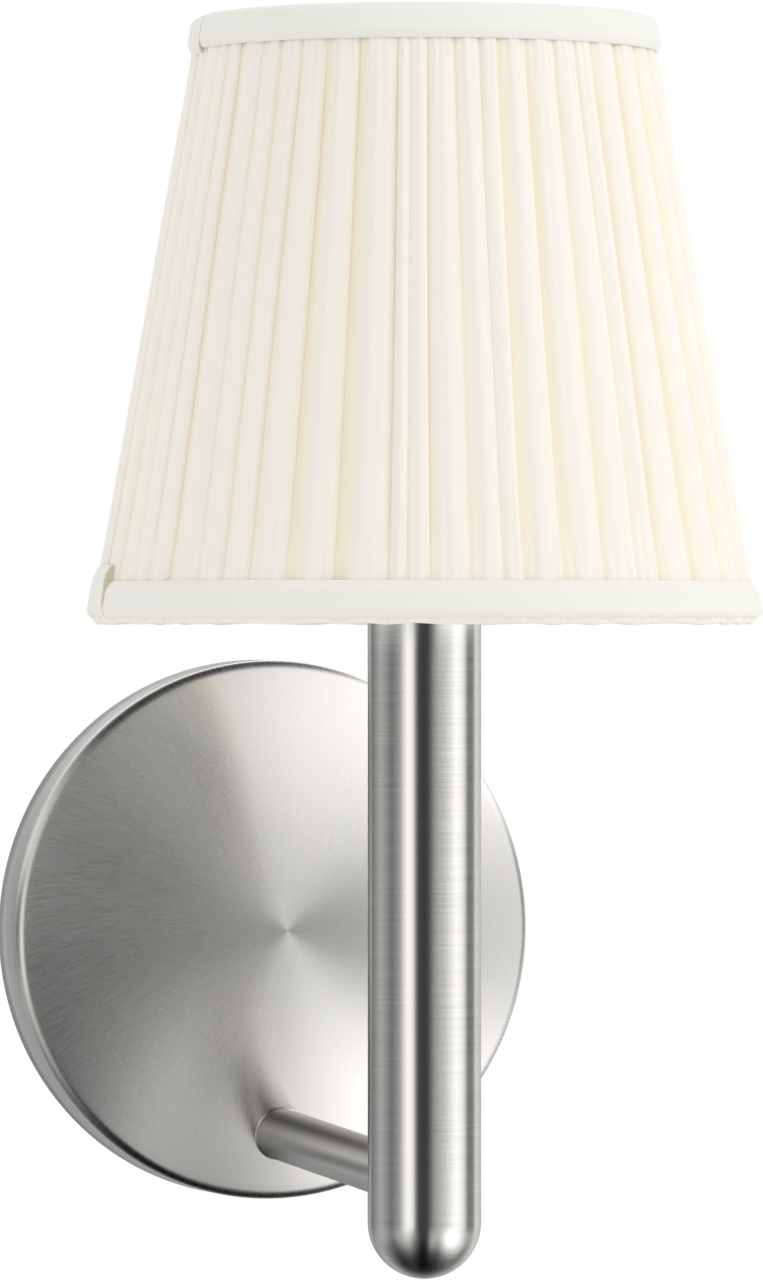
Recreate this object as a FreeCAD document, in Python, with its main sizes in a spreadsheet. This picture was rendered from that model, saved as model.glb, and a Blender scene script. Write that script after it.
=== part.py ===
"""Wall light with a round backplate, a sloping arm, a tube stem and a gathered fabric shade.

Frame: the origin is on the wall behind the backplate's centre. +Y points into the wall,
-Y into the room, +X to the right for someone who faces the wall, and +Z up.
Millimetres and degrees.
"""
import FreeCAD, Part
import math
import os
import re

import Sketcher
from FreeCAD import Rotation, Vector

# ---------------------------------------------------------------- driving dimensions
SIZES = {
    # spun backplate
    "plate_radius": 62.5,
    "plate_rim": 12.0,            # straight side, from the wall
    "plate_bend": 3.0,            # outer radius of the rolled edge
    "plate_crown": 12.0,          # centre of the face beyond the straight side
    "plate_wall": 1.2,
    # wall bracket, a pressed strap with two bent tabs
    "strap_width": 20.0,
    "strap_wall": 2.0,
    "tab_depth": 12.0,
    "tab_bend": 3.0,
    "fixing_spacing": 60.0,
    "fixing_slot_width": 4.5,
    "fixing_slot_length": 9.0,
    "cable_hole_radius": 6.5,
    "grommet_wall": 1.6,
    "grommet_flange": 2.0,
    "grommet_flange_wall": 1.5,
    # headless screws that hold the backplate on the tabs
    "cover_screw_radius": 2.0,
    "cover_screw_length": 7.0,
    "cover_screw_depth": 7.5,     # distance of their axis from the wall
    "driver_slot_width": 0.8,
    "driver_slot_depth": 1.0,
    # terminal block
    "block_width": 28.0,
    "block_rise": 13.0,
    "block_depth": 12.0,
    "block_offset": 9.5,          # lower side above the plate's centre
    "pole_spacing": 8.0,
    "barrel_radius": 2.2,
    "barrel_bore": 1.25,
    "terminal_screw_radius": 1.4,
    # earth terminal on the strap
    "earth_offset": 45.0,
    "earth_screw_radius": 2.0,
    "earth_head_radius": 3.6,
    "earth_head_depth": 2.2,
    "earth_washer_radius": 4.4,
    "earth_washer_wall": 0.8,
    "earth_tag_length": 9.0,
    # wires
    "wire_radius": 0.9,
    "wire_offset": 2.6,           # sideways from the arm's and the stem's axis
    "wire_bend": 4.0,
    "wire_clear": 1.8,            # from the strap to the wires in front of it
    "wire_entry": 2.0,            # stripped end inside the terminal block
    "wire_lead": 8.0,             # straight run out of the block
    # arm
    "arm_radius": 6.0,
    "arm_slope": 3.0,             # degrees down, away from the wall
    "arm_inset": 10.1,            # where its axis meets the stem's, above the plate's lowest point
    "nipple_radius": 5.0,
    "nipple_bore": 3.75,
    "nipple_grip": 12.0,          # length held in the arm at each end
    "saddle_radius": 8.5,
    "saddle_height": 3.0,
    "nut_width": 14.0,            # across flats
    "nut_height": 4.0,
    "nipple_end": 1.0,            # beyond the nut
    # stem
    "stem_reach": 120.0,          # from the wall to the stem's axis
    "stem_radius": 12.5,
    "stem_wall": 1.2,
    "stem_tail": 21.0,            # from the arm's axis down to the stem's lowest point
    "stem_top": 84.0,
    "bush_above": 8.0,            # over the arm's axis
    "bush_bore": 5.0,
    "cap_flange": 2.0,
    "cap_spigot": 6.0,
    "cap_spigot_wall": 2.2,
    "holder_nipple_below": 9.0,   # under the cap's flange
    "holder_nipple_above": 6.0,   # inside the lampholder
    # lampholder
    "holder_radius": 15.0,
    "holder_foot_radius": 10.0,
    "holder_floor": 2.0,
    "holder_bore": 13.0,
    "holder_height": 24.5,
    "holder_flange_radius": 18.0,
    "holder_flange_wall": 2.5,
    "sleeve_radius": 14.0,
    "sleeve_bore": 12.8,
    "sleeve_height": 21.5,
    "core_radius": 12.5,
    "core_cavity_radius": 9.0,
    "core_cavity_height": 14.0,
    "core_floor": 4.0,
    "rivet_radius": 1.2,
    "contact_radius": 3.5,
    "contact_wall": 1.0,
    "shell_radius": 7.55,
    "shell_wall": 0.3,
    # lamp
    "bulb_cap_radius": 6.9,
    "bulb_cap_length": 17.5,
    "bulb_insulator": 2.5,
    "bulb_tip_radius": 2.2,
    "bulb_tip": 1.0,
    "bulb_collar_radius": 9.0,
    "bulb_collar_height": 4.5,
    "bulb_housing_height": 12.0,
    "bulb_neck_radius": 13.0,
    "bulb_radius": 22.5,
    "bulb_wall": 1.0,
    # shade's fitter and its retaining ring
    "fitter_radius": 20.0,
    "fitter_wall": 1.5,
    "fitter_rise": 39.0,          # above the shade's lower edge
    "fitter_arms": 3,
    "fitter_knee": 7.0,           # from the fitter's rim to each arm's bend
    "fitter_arm_radius": 1.3,
    "fitter_arm_bend": 8.0,
    "retainer_radius": 18.5,
    "retainer_height": 7.5,
    "retainer_notches": 12,
    "retainer_notch_radius": 1.5,
    # shade
    "shade_height": 132.5,
    "crest_bottom": 73.6,         # outer radius of the folds at the lower edge
    "crest_top": 50.0,            # and at the upper edge
    "pleat_count": 50,
    "pleat_depth": 2.2,
    "pleat_depth_bound": 1.0,     # where the bindings press the folds flat
    "fabric_wall": 0.5,
    "lining_wall": 0.5,
    "ring_wire": 1.0,
    "trim_wall": 1.1,
    "trim_round": 2.0,
    "top_trim_height": 7.8,
    "bottom_trim_height": 8.3,
    "trim_inner_height": 5.0,
    # fits and clearances
    "free_gap": 0.3,              # between pieces that move past each other, and round loose ones
    "thread_fit": 0.05,           # radial, between a thread and its hole
    "glue_line": 0.1,             # between the layers of the shade
}

DOC = FreeCAD.newDocument("wall_light")
SHEET = DOC.addObject("Spreadsheet::Sheet", "Sizes")
NODES = []

FACING_ROOM = Rotation(Vector(1, 0, 0), 90)                       # local +Z becomes -Y
ALONG_STRAP = Rotation(Vector(0, 0, 1), Vector(0, -1, 0), Vector(1, 0, 0), "ZXY")


def fill_sheet():
    """One row for each driving dimension: its name, its value and its alias."""
    for row, (name, number) in enumerate(SIZES.items(), start=1):
        SHEET.set(f"A{row}", name)
        SHEET.set(f"B{row}", str(number))
        SHEET.setAlias(f"B{row}", name)
    DOC.recompute()


# ---------------------------------------------------------------- helpers
def formula(text):
    """Expression text with each driving dimension's name pointed at the sheet."""
    def point_at_sheet(match):
        word = match.group(0)
        return f"{SHEET.Name}.{word}" if word in SIZES else word
    return re.sub(r"[A-Za-z_]\w*", point_at_sheet, str(text))


def value(text):
    """The number that a formula gives with the sheet's present values."""
    return float(SHEET.evalExpression(formula(text)))


def bind(thing, prop, text):
    thing.setExpression(prop, formula(text))


def place(thing, x="0", y="0", z="0", turn=None):
    """Put a piece at a point given by three formulas, turned first."""
    if turn is not None:
        thing.Placement = FreeCAD.Placement(Vector(0, 0, 0), turn)
    for axis, text in zip("xyz", (x, y, z)):
        bind(thing, f"Placement.Base.{axis}", text)
    return thing


def on_stem(thing, height):
    """Stand a piece on the stem's axis, its local zero at this height."""
    return place(thing, y="-stem_reach", z=height)


def on_arm(thing, distance="0", across="0"):
    """Lay a piece along the arm's axis, local +Z to the wall, from the stem's axis on."""
    thing.Placement = FreeCAD.Placement(Vector(0, 0, 0), Rotation(Vector(1, 0, 0), -90))
    bind(thing, "Placement.Rotation.Angle", "90 - arm_slope")
    thing.Placement.Rotation.Axis = Vector(-1, 0, 0)
    bind(thing, "Placement.Base.x", across)
    bind(thing, "Placement.Base.y", f"-stem_reach + ({distance}) * cos(arm_slope)")
    bind(thing, "Placement.Base.z", f"-{ARM_DROP} + ({distance}) * sin(arm_slope)")
    return thing


def arc_centre(start, end, radius, turn):
    """Centre of the short arc from start to end, on the left of the way for turn +1."""
    middle = (start + end) * 0.5
    way = end - start
    left = Vector(-way.y, way.x, 0).normalize()
    rise = math.sqrt(max(radius ** 2 - (way.Length / 2) ** 2, 0.0))
    return middle + left * (rise * turn)


def add_edge(sketch, start, end, arc):
    """Add a line, or an arc (radius formula, turn), and say which of its ends is the start."""
    if arc is None:
        return sketch.addGeometry(Part.LineSegment(start, end), False), 1, 2
    radius = value(arc[0])
    centre = arc_centre(start, end, radius, arc[1])
    first, last = (start, end) if arc[1] > 0 else (end, start)
    angles = [math.atan2(p.y - centre.y, p.x - centre.x) for p in (first, last)]
    circle = Part.Circle(centre, Vector(0, 0, 1), radius)
    index = sketch.addGeometry(Part.ArcOfCircle(circle, *angles), False)
    return (index, 1, 2) if arc[1] > 0 else (index, 2, 1)


def hold_point(sketch, edge, end, corner):
    """Fix an edge's end at the corner's two formulas, on an axis where one of them is 0."""
    for axis_line, kind, text in zip((-2, -1), ("DistanceX", "DistanceY"), corner):
        if text == "0":
            sketch.addConstraint(Sketcher.Constraint("PointOnObject", edge, end, axis_line))
            continue
        held = sketch.addConstraint(Sketcher.Constraint(kind, edge, end, value(text)))
        bind(sketch, f"Constraints[{held}]", text)


def origin_feature(body, role):
    return next(f for f in body.Origin.OriginFeatures if f.Role == role)


def closed_sketch(body, plane, corners, arcs=None):
    """A closed outline through the corners; arcs maps an edge's number to its arc."""
    arcs = arcs or {}
    sketch = body.newObject("Sketcher::SketchObject", f"{body.Name}_sketch")
    sketch.AttachmentSupport = [(origin_feature(body, plane), "")]
    sketch.MapMode = "FlatFace"
    points = [Vector(value(u), value(v), 0) for u, v in corners]
    edges = []
    for number, start in enumerate(points):
        end = points[(number + 1) % len(points)]
        edges.append(add_edge(sketch, start, end, arcs.get(number)))
    for number, (edge, first, last) in enumerate(edges):
        following, following_first, _ = edges[(number + 1) % len(edges)]
        sketch.addConstraint(Sketcher.Constraint("Coincident", edge, last,
                                                 following, following_first))
        hold_point(sketch, edge, first, corners[number])
        if number in arcs:
            radius = sketch.addConstraint(
                Sketcher.Constraint("Radius", edge, value(arcs[number][0])))
            bind(sketch, f"Constraints[{radius}]", arcs[number][0])
    return sketch


def turned(name, corners, arcs=None):
    """A body turned about its local Z axis from an outline of (radius, height) corners."""
    body = DOC.addObject("PartDesign::Body", name)
    sketch = closed_sketch(body, "XZ_Plane", corners, arcs)
    turn = body.newObject("PartDesign::Revolution", f"{name}_turned")
    turn.Profile = sketch
    turn.ReferenceAxis = (sketch, ["V_Axis"])
    turn.Angle = 360
    body.Tip = turn
    return body


def pressed(name, corners, thickness, arcs=None, centred=False):
    """A body padded from an outline along its local Z axis."""
    body = DOC.addObject("PartDesign::Body", name)
    pad = body.newObject("PartDesign::Pad", f"{name}_pad")
    pad.Profile = closed_sketch(body, "XY_Plane", corners, arcs)
    pad.Midplane = centred
    bind(pad, "Length", thickness)
    body.Tip = pad
    return body


def rod(name, radius, length):
    cylinder = DOC.addObject("Part::Cylinder", name)
    bind(cylinder, "Radius", radius)
    bind(cylinder, "Height", length)
    return cylinder


def block(name, width, depth, height):
    box = DOC.addObject("Part::Box", name)
    bind(box, "Length", width)
    bind(box, "Width", depth)
    bind(box, "Height", height)
    return box


def ball(name, radius):
    sphere = DOC.addObject("Part::Sphere", name)
    bind(sphere, "Radius", radius)
    return sphere


def group(name, pieces):
    compound = DOC.addObject("Part::Compound", name)
    compound.Links = pieces
    return compound


def cut(name, base, tools):
    """The base with every tool taken away."""
    result = DOC.addObject("Part::Cut", name)
    result.Base = base
    result.Tool = tools[0] if len(tools) == 1 else group(f"{name}_tools", tools)
    return result


def common(name, base, tool):
    result = DOC.addObject("Part::Common", name)
    result.Base = base
    result.Tool = tool
    return result


def node(label, thing):
    """Name a finished sub-part."""
    thing.Label = label
    NODES.append(thing)
    return thing


def computed(label, shape):
    feature = DOC.addObject("Part::Feature", label)
    feature.Shape = shape
    return node(label, feature)


def round_path(points, radii):
    """A wire of straight runs joined by tangent arcs, one radius for each inner point."""
    edges = []
    last = points[0]
    for before, point, after, radius in zip(points, points[1:], points[2:], radii):
        way_in = (point - before).normalize()
        way_out = (after - point).normalize()
        half_turn = way_in.getAngle(way_out) / 2
        reach = radius * math.tan(half_turn)
        start = point - way_in * reach
        end = point + way_out * reach
        inward = (way_out - way_in).normalize()
        sagitta_point = point + inward * (radius / math.cos(half_turn) - radius)
        edges.append(Part.LineSegment(last, start).toShape())
        edges.append(Part.Arc(start, sagitta_point, end).toShape())
        last = end
    edges.append(Part.LineSegment(last, points[-1]).toShape())
    return Part.Wire(edges)


def tube_along(points, radii, radius):
    """A round solid bar along the rounded path."""
    path = round_path(points, radii)
    ring = Part.Circle(points[0], points[1] - points[0], radius).toShape()
    shape = path.makePipeShell([Part.Wire([ring])], True, False)
    expected = math.pi * radius ** 2 * path.Length
    if abs(shape.Volume / expected - 1) > 0.01:
        raise RuntimeError("a swept bar has the wrong volume")
    return shape


# ---------------------------------------------------------------- derived sizes
# The backplate's face is part of a ball that meets the rolled edge without a crease.
BEND_CENTRE = "(plate_radius - plate_bend)"
FACE_RADIUS = (f"(({BEND_CENTRE}^2 + plate_crown^2 - plate_bend^2)"
               " / (2 * (plate_crown - plate_bend)))")
PLATE_DEPTH = "(plate_rim + plate_crown)"
# Below the plate's centre: where the arm's axis meets the stem's, and the stem's lowest point.
ARM_DROP = "(plate_radius - arm_inset)"
STEM_DROP = f"({ARM_DROP} + stem_tail)"
# Along the arm's axis, from the stem's axis to where it meets the plate's face.
BALL_AWAY = f"(stem_reach + {FACE_RADIUS} - {PLATE_DEPTH})"
NEAREST = f"({BALL_AWAY} * cos(arm_slope) + {ARM_DROP} * sin(arm_slope))"
ARM_SEAT = f"({NEAREST} - sqrt({NEAREST}^2 - {BALL_AWAY}^2 - {ARM_DROP}^2 + {FACE_RADIUS}^2))"
NUT_CORNER = "(nut_width / sqrt(3))"
# Half the strap's length: its tabs' corners clear the inside of the round cup.
STRAP_HALF = "sqrt((plate_radius - plate_wall - free_gap)^2 - (strap_width / 2)^2)"
POLE_DEPTH = "(strap_wall + block_depth / 2)"
# Heights on the stem's axis.
HOLDER_FOOT = "(stem_top + cap_flange)"
CORE_SEAT = f"({HOLDER_FOOT} + holder_floor + core_cavity_height + core_floor)"
CORE_TOP = (f"({CORE_SEAT} + contact_wall + bulb_tip + bulb_insulator + bulb_cap_length)")
BULB_COLLAR = f"({CORE_TOP} + free_gap)"
FITTER_SEAT = f"({HOLDER_FOOT} + holder_height + free_gap)"
SHADE_FOOT = f"({FITTER_SEAT} - fitter_rise)"
# The shade's cone, by the height above its lower edge.
SPREAD = "((crest_bottom - crest_top) / shade_height)"


def crest(height):
    """Outer radius of the folds at a height above the shade's lower edge."""
    return f"(crest_bottom - {SPREAD} * ({height}))"


def lining_outside(height):
    return f"({crest(height)} - pleat_depth - fabric_wall - glue_line)"


def lining_inside(height):
    return f"({lining_outside(height)} - lining_wall)"


def ring_centre(height):
    """Centre radius of a ring wire that lies against the lining."""
    return f"({lining_inside(height)} - ring_wire * sqrt(1 + {SPREAD}^2) - glue_line)"


LOWER_RING = "(trim_wall + glue_line + ring_wire)"
UPPER_RING = f"(shade_height - {LOWER_RING})"


# ---------------------------------------------------------------- backplate and bracket
def plate_outline():
    """Half section of the spun cup: rim, rolled edge and domed face, with one wall."""
    centre_height = f"({PLATE_DEPTH} - {FACE_RADIUS})"
    reach = f"({FACE_RADIUS} - plate_bend)"
    rise = f"(plate_rim - {centre_height})"

    def tangent_point(radius):
        return (f"{BEND_CENTRE} * {radius} / {reach}",
                f"{centre_height} + {rise} * {radius} / {reach}")

    inner_face = f"({FACE_RADIUS} - plate_wall)"
    corners = [("plate_radius - plate_wall", "0"), ("plate_radius", "0"),
               ("plate_radius", "plate_rim"), tangent_point(FACE_RADIUS),
               ("0", PLATE_DEPTH), ("0", f"{PLATE_DEPTH} - plate_wall"),
               tangent_point(inner_face), ("plate_radius - plate_wall", "plate_rim")]
    arcs = {2: ("plate_bend", 1), 3: (FACE_RADIUS, 1),
            5: (inner_face, -1), 6: ("plate_bend - plate_wall", -1)}
    return corners, arcs


def backplate_cover():
    cup = place(turned("cup", *plate_outline()), turn=FACING_ROOM)
    arm_hole = on_arm(rod("cup_arm_hole", "nipple_radius + free_gap", "nipple_grip * 2"),
                      f"{ARM_SEAT} - nipple_grip")
    screw_holes = place(rod("cup_screw_holes", "cover_screw_radius + free_gap",
                            "plate_radius * 2 + 4"),
                        y="-cover_screw_depth", z="-plate_radius - 2")
    node("backplate_cover", cut("pierced_cup", cup, [arm_hole, screw_holes]))


def slot_cutter(name, height):
    """An upright slot through the strap, centred at this height."""
    half = "fixing_slot_width / 2"
    straight = "(fixing_slot_length - fixing_slot_width)"
    corners = [("0", half), (half, "0"), (f"{half} + {straight}", "0"),
               (f"fixing_slot_length", half), (f"{half} + {straight}", "fixing_slot_width"),
               (half, "fixing_slot_width")]
    arcs = {0: (half, 1), 2: (half, 1), 3: (half, 1), 5: (half, 1)}
    cutter = pressed(name, corners, "strap_wall * 3", arcs)
    turn = Rotation(Vector(0, 0, 1), Vector(1, 0, 0), Vector(0, 1, 0), "ZXY")
    return place(cutter, x="-fixing_slot_width / 2", y="-strap_wall * 2",
                 z=f"{height} - fixing_slot_length / 2", turn=turn)


def wall_bracket():
    length = f"(2 * {STRAP_HALF})"
    inner = "tab_bend - strap_wall"
    corners = [("0", "tab_bend"), ("tab_bend", "0"),
               (f"{length} - tab_bend", "0"), (length, "tab_bend"),
               (length, "tab_depth"), (f"{length} - strap_wall", "tab_depth"),
               (f"{length} - strap_wall", "tab_bend"), (f"{length} - tab_bend", "strap_wall"),
               ("tab_bend", "strap_wall"), ("strap_wall", "tab_bend"),
               ("strap_wall", "tab_depth"), ("0", "tab_depth")]
    arcs = {0: ("tab_bend", 1), 2: ("tab_bend", 1), 6: (inner, -1), 8: (inner, -1)}
    strap = pressed("strap", corners, "strap_width", arcs, centred=True)
    place(strap, z=f"-{STRAP_HALF}", turn=ALONG_STRAP)
    slots = [slot_cutter("upper_slot", "fixing_spacing / 2"),
             slot_cutter("lower_slot", "-fixing_spacing / 2")]
    cable_hole = place(rod("cable_hole", "cable_hole_radius", "strap_wall * 3"),
                       y="strap_wall", turn=FACING_ROOM)
    earth_hole = place(rod("earth_hole", "earth_screw_radius + thread_fit", "strap_wall * 3"),
                       y="strap_wall", z="earth_offset", turn=FACING_ROOM)
    tab_holes = place(rod("tab_holes", "cover_screw_radius + thread_fit", "plate_radius * 2"),
                      y="-cover_screw_depth", z="-plate_radius")
    node("wall_bracket", cut("pierced_strap", strap,
                             slots + [cable_hole, earth_hole, tab_holes]))


def cable_grommet():
    neck = "cable_hole_radius - thread_fit"
    flange = "cable_hole_radius + grommet_flange"
    top = "strap_wall + grommet_flange_wall"
    corners = [("cable_hole_radius - grommet_wall", "0"), (neck, "0"), (neck, "strap_wall"),
               (flange, "strap_wall"), (flange, f"{top} - grommet_flange_wall / 2"),
               (f"{flange} - grommet_flange_wall / 2", top),
               ("cable_hole_radius - grommet_wall", top)]
    arcs = {4: ("grommet_flange_wall / 2", 1)}
    node("cable_grommet", place(turned("grommet", corners, arcs), turn=FACING_ROOM))


def grub_screw(name, turn, height):
    """A headless screw with a driver's slot in its outer end and a chamfered tip."""
    corners = [("0", "0"), ("cover_screw_radius / 2", "0"),
               ("cover_screw_radius", "cover_screw_radius / 2"),
               ("cover_screw_radius", "cover_screw_length"), ("0", "cover_screw_length")]
    shank = place(turned(f"{name}_shank", corners), y="-cover_screw_depth", z=height, turn=turn)
    return shank


def cover_screws():
    inner_end = "(plate_radius - free_gap - cover_screw_length)"
    upper = grub_screw("upper_screw", Rotation(), inner_end)
    lower = grub_screw("lower_screw", Rotation(Vector(1, 0, 0), 180), f"-{inner_end}")
    slots = []
    for name, height in (("upper", "plate_radius - free_gap - driver_slot_depth"),
                         ("lower", "-plate_radius + free_gap - driver_slot_depth")):
        slot = block(f"{name}_driver_slot", "cover_screw_radius * 3", "driver_slot_width",
                     "driver_slot_depth * 2")
        slots.append(place(slot, x="-cover_screw_radius * 3 / 2",
                           y="-cover_screw_depth - driver_slot_width / 2", z=height))
    node("cover_screws", cut("slotted_screws", group("screw_pair", [upper, lower]), slots))


def pole_rods(name, radius, length, height):
    """Three upright rods on the terminal block's poles."""
    rods = []
    for pole in (-1, 0, 1):
        upright = rod(f"{name}_{pole + 2}", radius, length)
        rods.append(place(upright, x=f"{pole} * pole_spacing", y=f"-{POLE_DEPTH}", z=height))
    return rods


def pole_screw_rods(name, radius, length, depth):
    """Three rods that point to the room, at the middle of the block's poles."""
    rods = []
    for pole in (-1, 0, 1):
        pin = rod(f"{name}_{pole + 2}", radius, length)
        rods.append(place(pin, x=f"{pole} * pole_spacing", y=f"-({depth})",
                          z="block_offset + block_rise / 2", turn=FACING_ROOM))
    return rods


def terminal_block():
    housing = block("block_housing", "block_width", "block_depth", "block_rise")
    place(housing, x="-block_width / 2", y="-strap_wall - block_depth", z="block_offset")
    lift = "block_offset - 1"
    openings = pole_rods("barrel_hole", "barrel_radius + thread_fit", "block_rise + 2", lift)
    openings += pole_screw_rods("screw_hole", "terminal_screw_radius + free_gap",
                                "block_depth", POLE_DEPTH)
    node("terminal_block", cut("bored_block", housing, openings))

    barrels = group("barrel_rods", pole_rods("barrel", "barrel_radius", "block_rise - 1",
                                             "block_offset + 0.5"))
    bores = pole_rods("barrel_bore", "barrel_bore", "block_rise + 2", lift)
    bores += pole_screw_rods("barrel_tapping", "terminal_screw_radius + thread_fit",
                             "block_depth", POLE_DEPTH)
    node("terminal_barrels", cut("bored_barrels", barrels, bores))

    tip = f"{POLE_DEPTH} + wire_radius + free_gap"
    reach = "block_depth / 2 - wire_radius - free_gap * 2"
    screws = group("screw_rods", pole_screw_rods("pole_screw", "terminal_screw_radius",
                                                 reach, tip))
    slots = []
    for pole in (-1, 0, 1):
        slot = block(f"pole_slot_{pole + 2}", "terminal_screw_radius * 3", "driver_slot_depth",
                     "driver_slot_width")
        slots.append(place(slot, x=f"{pole} * pole_spacing - terminal_screw_radius * 3 / 2",
                           y="-strap_wall - block_depth",
                           z="block_offset + block_rise / 2 - driver_slot_width / 2"))
    node("terminal_screws", cut("slotted_pole_screws", screws, slots))


def earth_terminal():
    washer = "strap_wall + earth_washer_wall"
    hole = "earth_screw_radius + free_gap"
    ring = turned("earth_washer_ring", [(hole, "0"), ("earth_washer_radius", "0"),
                                        ("earth_washer_radius", "earth_washer_wall"),
                                        (hole, "earth_washer_wall")])
    node("earth_washer", place(ring, y="-strap_wall", z="earth_offset", turn=FACING_ROOM))

    eye = rod("tag_eye", "earth_head_radius", "earth_washer_wall")
    place(eye, y=f"-({washer})", z="earth_offset", turn=FACING_ROOM)
    tongue = block("tag_tongue", "earth_screw_radius * 2", "earth_washer_wall",
                   "earth_tag_length")
    place(tongue, x="-earth_screw_radius", y=f"-({washer}) - earth_washer_wall",
          z="earth_offset - earth_tag_length")
    plate = DOC.addObject("Part::Fuse", "tag_plate")
    plate.Base, plate.Tool = eye, tongue
    bore = place(rod("tag_bore", hole, "strap_wall * 4"), y="strap_wall", z="earth_offset",
                 turn=FACING_ROOM)
    node("earth_tag", cut("pierced_tag", plate, [bore]))

    under_head = f"({washer} + earth_washer_wall)"
    crown = "((earth_head_radius^2 + earth_head_depth^2) / (2 * earth_head_depth))"
    corners = [("0", "0"), ("earth_screw_radius", "0"),
               ("earth_screw_radius", f"{under_head} - free_gap"),
               ("earth_head_radius", f"{under_head} - free_gap"),
               ("0", f"{under_head} - free_gap + earth_head_depth")]
    screw = turned("earth_screw_blank", corners, {3: (crown, 1)})
    place(screw, y="-free_gap", z="earth_offset", turn=FACING_ROOM)
    slot = block("earth_slot", "earth_head_radius * 2", "driver_slot_depth", "driver_slot_width")
    place(slot, x="-earth_head_radius", y=f"-{under_head} - earth_head_depth",
          z="earth_offset - driver_slot_width / 2")
    node("earth_screw", cut("slotted_earth_screw", screw, [slot]))


# ---------------------------------------------------------------- arm
def arm_tube():
    """The arm, coped to the stem's tube at one end and to the plate's dome at the other."""
    bar = on_arm(rod("arm_bar", "arm_radius", f"{ARM_SEAT} + arm_radius"))
    bore = on_arm(rod("arm_bore", "nipple_radius + thread_fit", f"{ARM_SEAT} + arm_radius"))
    stem = on_stem(rod("stem_envelope", "stem_radius", f"{STEM_DROP} + stem_top"),
                   f"-{STEM_DROP}")
    dome = place(ball("dome_envelope", FACE_RADIUS), y=f"{FACE_RADIUS} - {PLATE_DEPTH}")
    node("arm_tube", cut("coped_arm", bar, [bore, stem, dome]))


def arm_nipple(label, start, length):
    tube = turned(f"{label}_tube", [("nipple_bore", "0"), ("nipple_radius", "0"),
                                    ("nipple_radius", length), ("nipple_bore", length)])
    node(label, on_arm(tube, start))


def hex_nut(name, bore, height):
    """A hexagon nut round its local Z axis: a padded hexagon with a hole."""
    prism = DOC.addObject("Part::Prism", f"{name}_prism")
    prism.Polygon = 6
    bind(prism, "Circumradius", NUT_CORNER)
    bind(prism, "Height", height)
    hole = rod(f"{name}_hole", bore, height)
    return cut(name, prism, [hole])


def arm_fastening():
    inside = f"({ARM_SEAT} + plate_wall)"
    nut_seat = f"({inside} + saddle_height)"
    arm_nipple("arm_wall_nipple", f"{ARM_SEAT} - nipple_grip",
               "nipple_grip + plate_wall + saddle_height + nut_height + nipple_end")
    arm_nipple("arm_stem_nipple", "bush_bore + free_gap",
               "stem_radius - bush_bore - free_gap + nipple_grip")
    washer = on_arm(turned("saddle_blank", [
        ("nipple_radius + free_gap", "0"), ("saddle_radius", "0"),
        ("saddle_radius", "saddle_height * 2"),
        ("nipple_radius + free_gap", "saddle_height * 2")]), f"{inside} - saddle_height")
    dome = place(ball("dome_inside", f"{FACE_RADIUS} - plate_wall"),
                 y=f"{FACE_RADIUS} - {PLATE_DEPTH}")
    node("arm_saddle_washer", common("saddle", washer, dome))
    node("arm_back_nut", on_arm(hex_nut("back_nut", "nipple_radius + thread_fit",
                                        "nut_height"), nut_seat))


# ---------------------------------------------------------------- stem
def stem_tube():
    inner = "stem_radius - stem_wall"
    height = f"{STEM_DROP} + stem_top"
    corners = [("0", "0"), ("stem_radius", "stem_radius"), ("stem_radius", height),
               (inner, height), (inner, "stem_radius"), ("0", "stem_wall")]
    tube = on_stem(turned("stem_blank", corners, {0: ("stem_radius", 1), 4: (inner, -1)}),
                   f"-{STEM_DROP}")
    hole = on_arm(rod("stem_arm_hole", "nipple_radius + free_gap", "stem_radius * 2"))
    node("stem_tube", cut("pierced_stem", tube, [hole]))


def stem_bush():
    """A bush on the stem's rounded end, that the arm's nipple screws into."""
    outer = "stem_radius - stem_wall - thread_fit"
    height = "stem_tail - stem_radius + bush_above"
    ring = turned("bush_ring", [("bush_bore", "0"), (outer, "0"), (outer, height),
                                ("bush_bore", height)])
    on_stem(ring, f"stem_radius - {STEM_DROP}")
    hole = on_arm(rod("bush_arm_hole", "nipple_radius + thread_fit", "stem_radius * 2"))
    node("stem_bush", cut("tapped_bush", ring, [hole]))


def stem_cap():
    spigot = "stem_radius - stem_wall - thread_fit"
    hollow = f"{spigot} - cap_spigot_wall"
    hole = "nipple_radius + thread_fit"
    top = "cap_spigot + cap_flange"
    corners = [(hollow, "0"), (spigot, "0"), (spigot, "cap_spigot"),
               ("stem_radius", "cap_spigot"), ("stem_radius", top), (hole, top),
               (hole, "cap_spigot"), (hollow, "cap_spigot")]
    node("stem_cap", on_stem(turned("cap_blank", corners), "stem_top - cap_spigot"))


def holder_fastening():
    length = "holder_nipple_below + cap_flange + holder_nipple_above"
    tube = turned("holder_nipple_tube", [("nipple_bore", "0"), ("nipple_radius", "0"),
                                         ("nipple_radius", length), ("nipple_bore", length)])
    node("holder_nipple", on_stem(tube, "stem_top - holder_nipple_below"))
    nut = hex_nut("cap_nut", "nipple_radius + thread_fit", "nut_height")
    node("nipple_nut", on_stem(nut, "stem_top - nut_height"))


# ---------------------------------------------------------------- lampholder
def lampholder_base():
    hole = "nipple_radius + thread_fit"
    shoulder = "holder_radius - holder_foot_radius"
    flange = "holder_height - holder_flange_wall"
    corners = [(hole, "0"), ("holder_foot_radius", "0"), ("holder_radius", shoulder),
               ("holder_radius", flange), ("holder_flange_radius", flange),
               ("holder_flange_radius", "holder_height"), ("holder_bore", "holder_height"),
               ("holder_bore", "holder_floor"), (hole, "holder_floor")]
    base = turned("holder_cup", corners, {1: (shoulder, 1)})
    node("lampholder_base", on_stem(base, HOLDER_FOOT))


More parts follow.
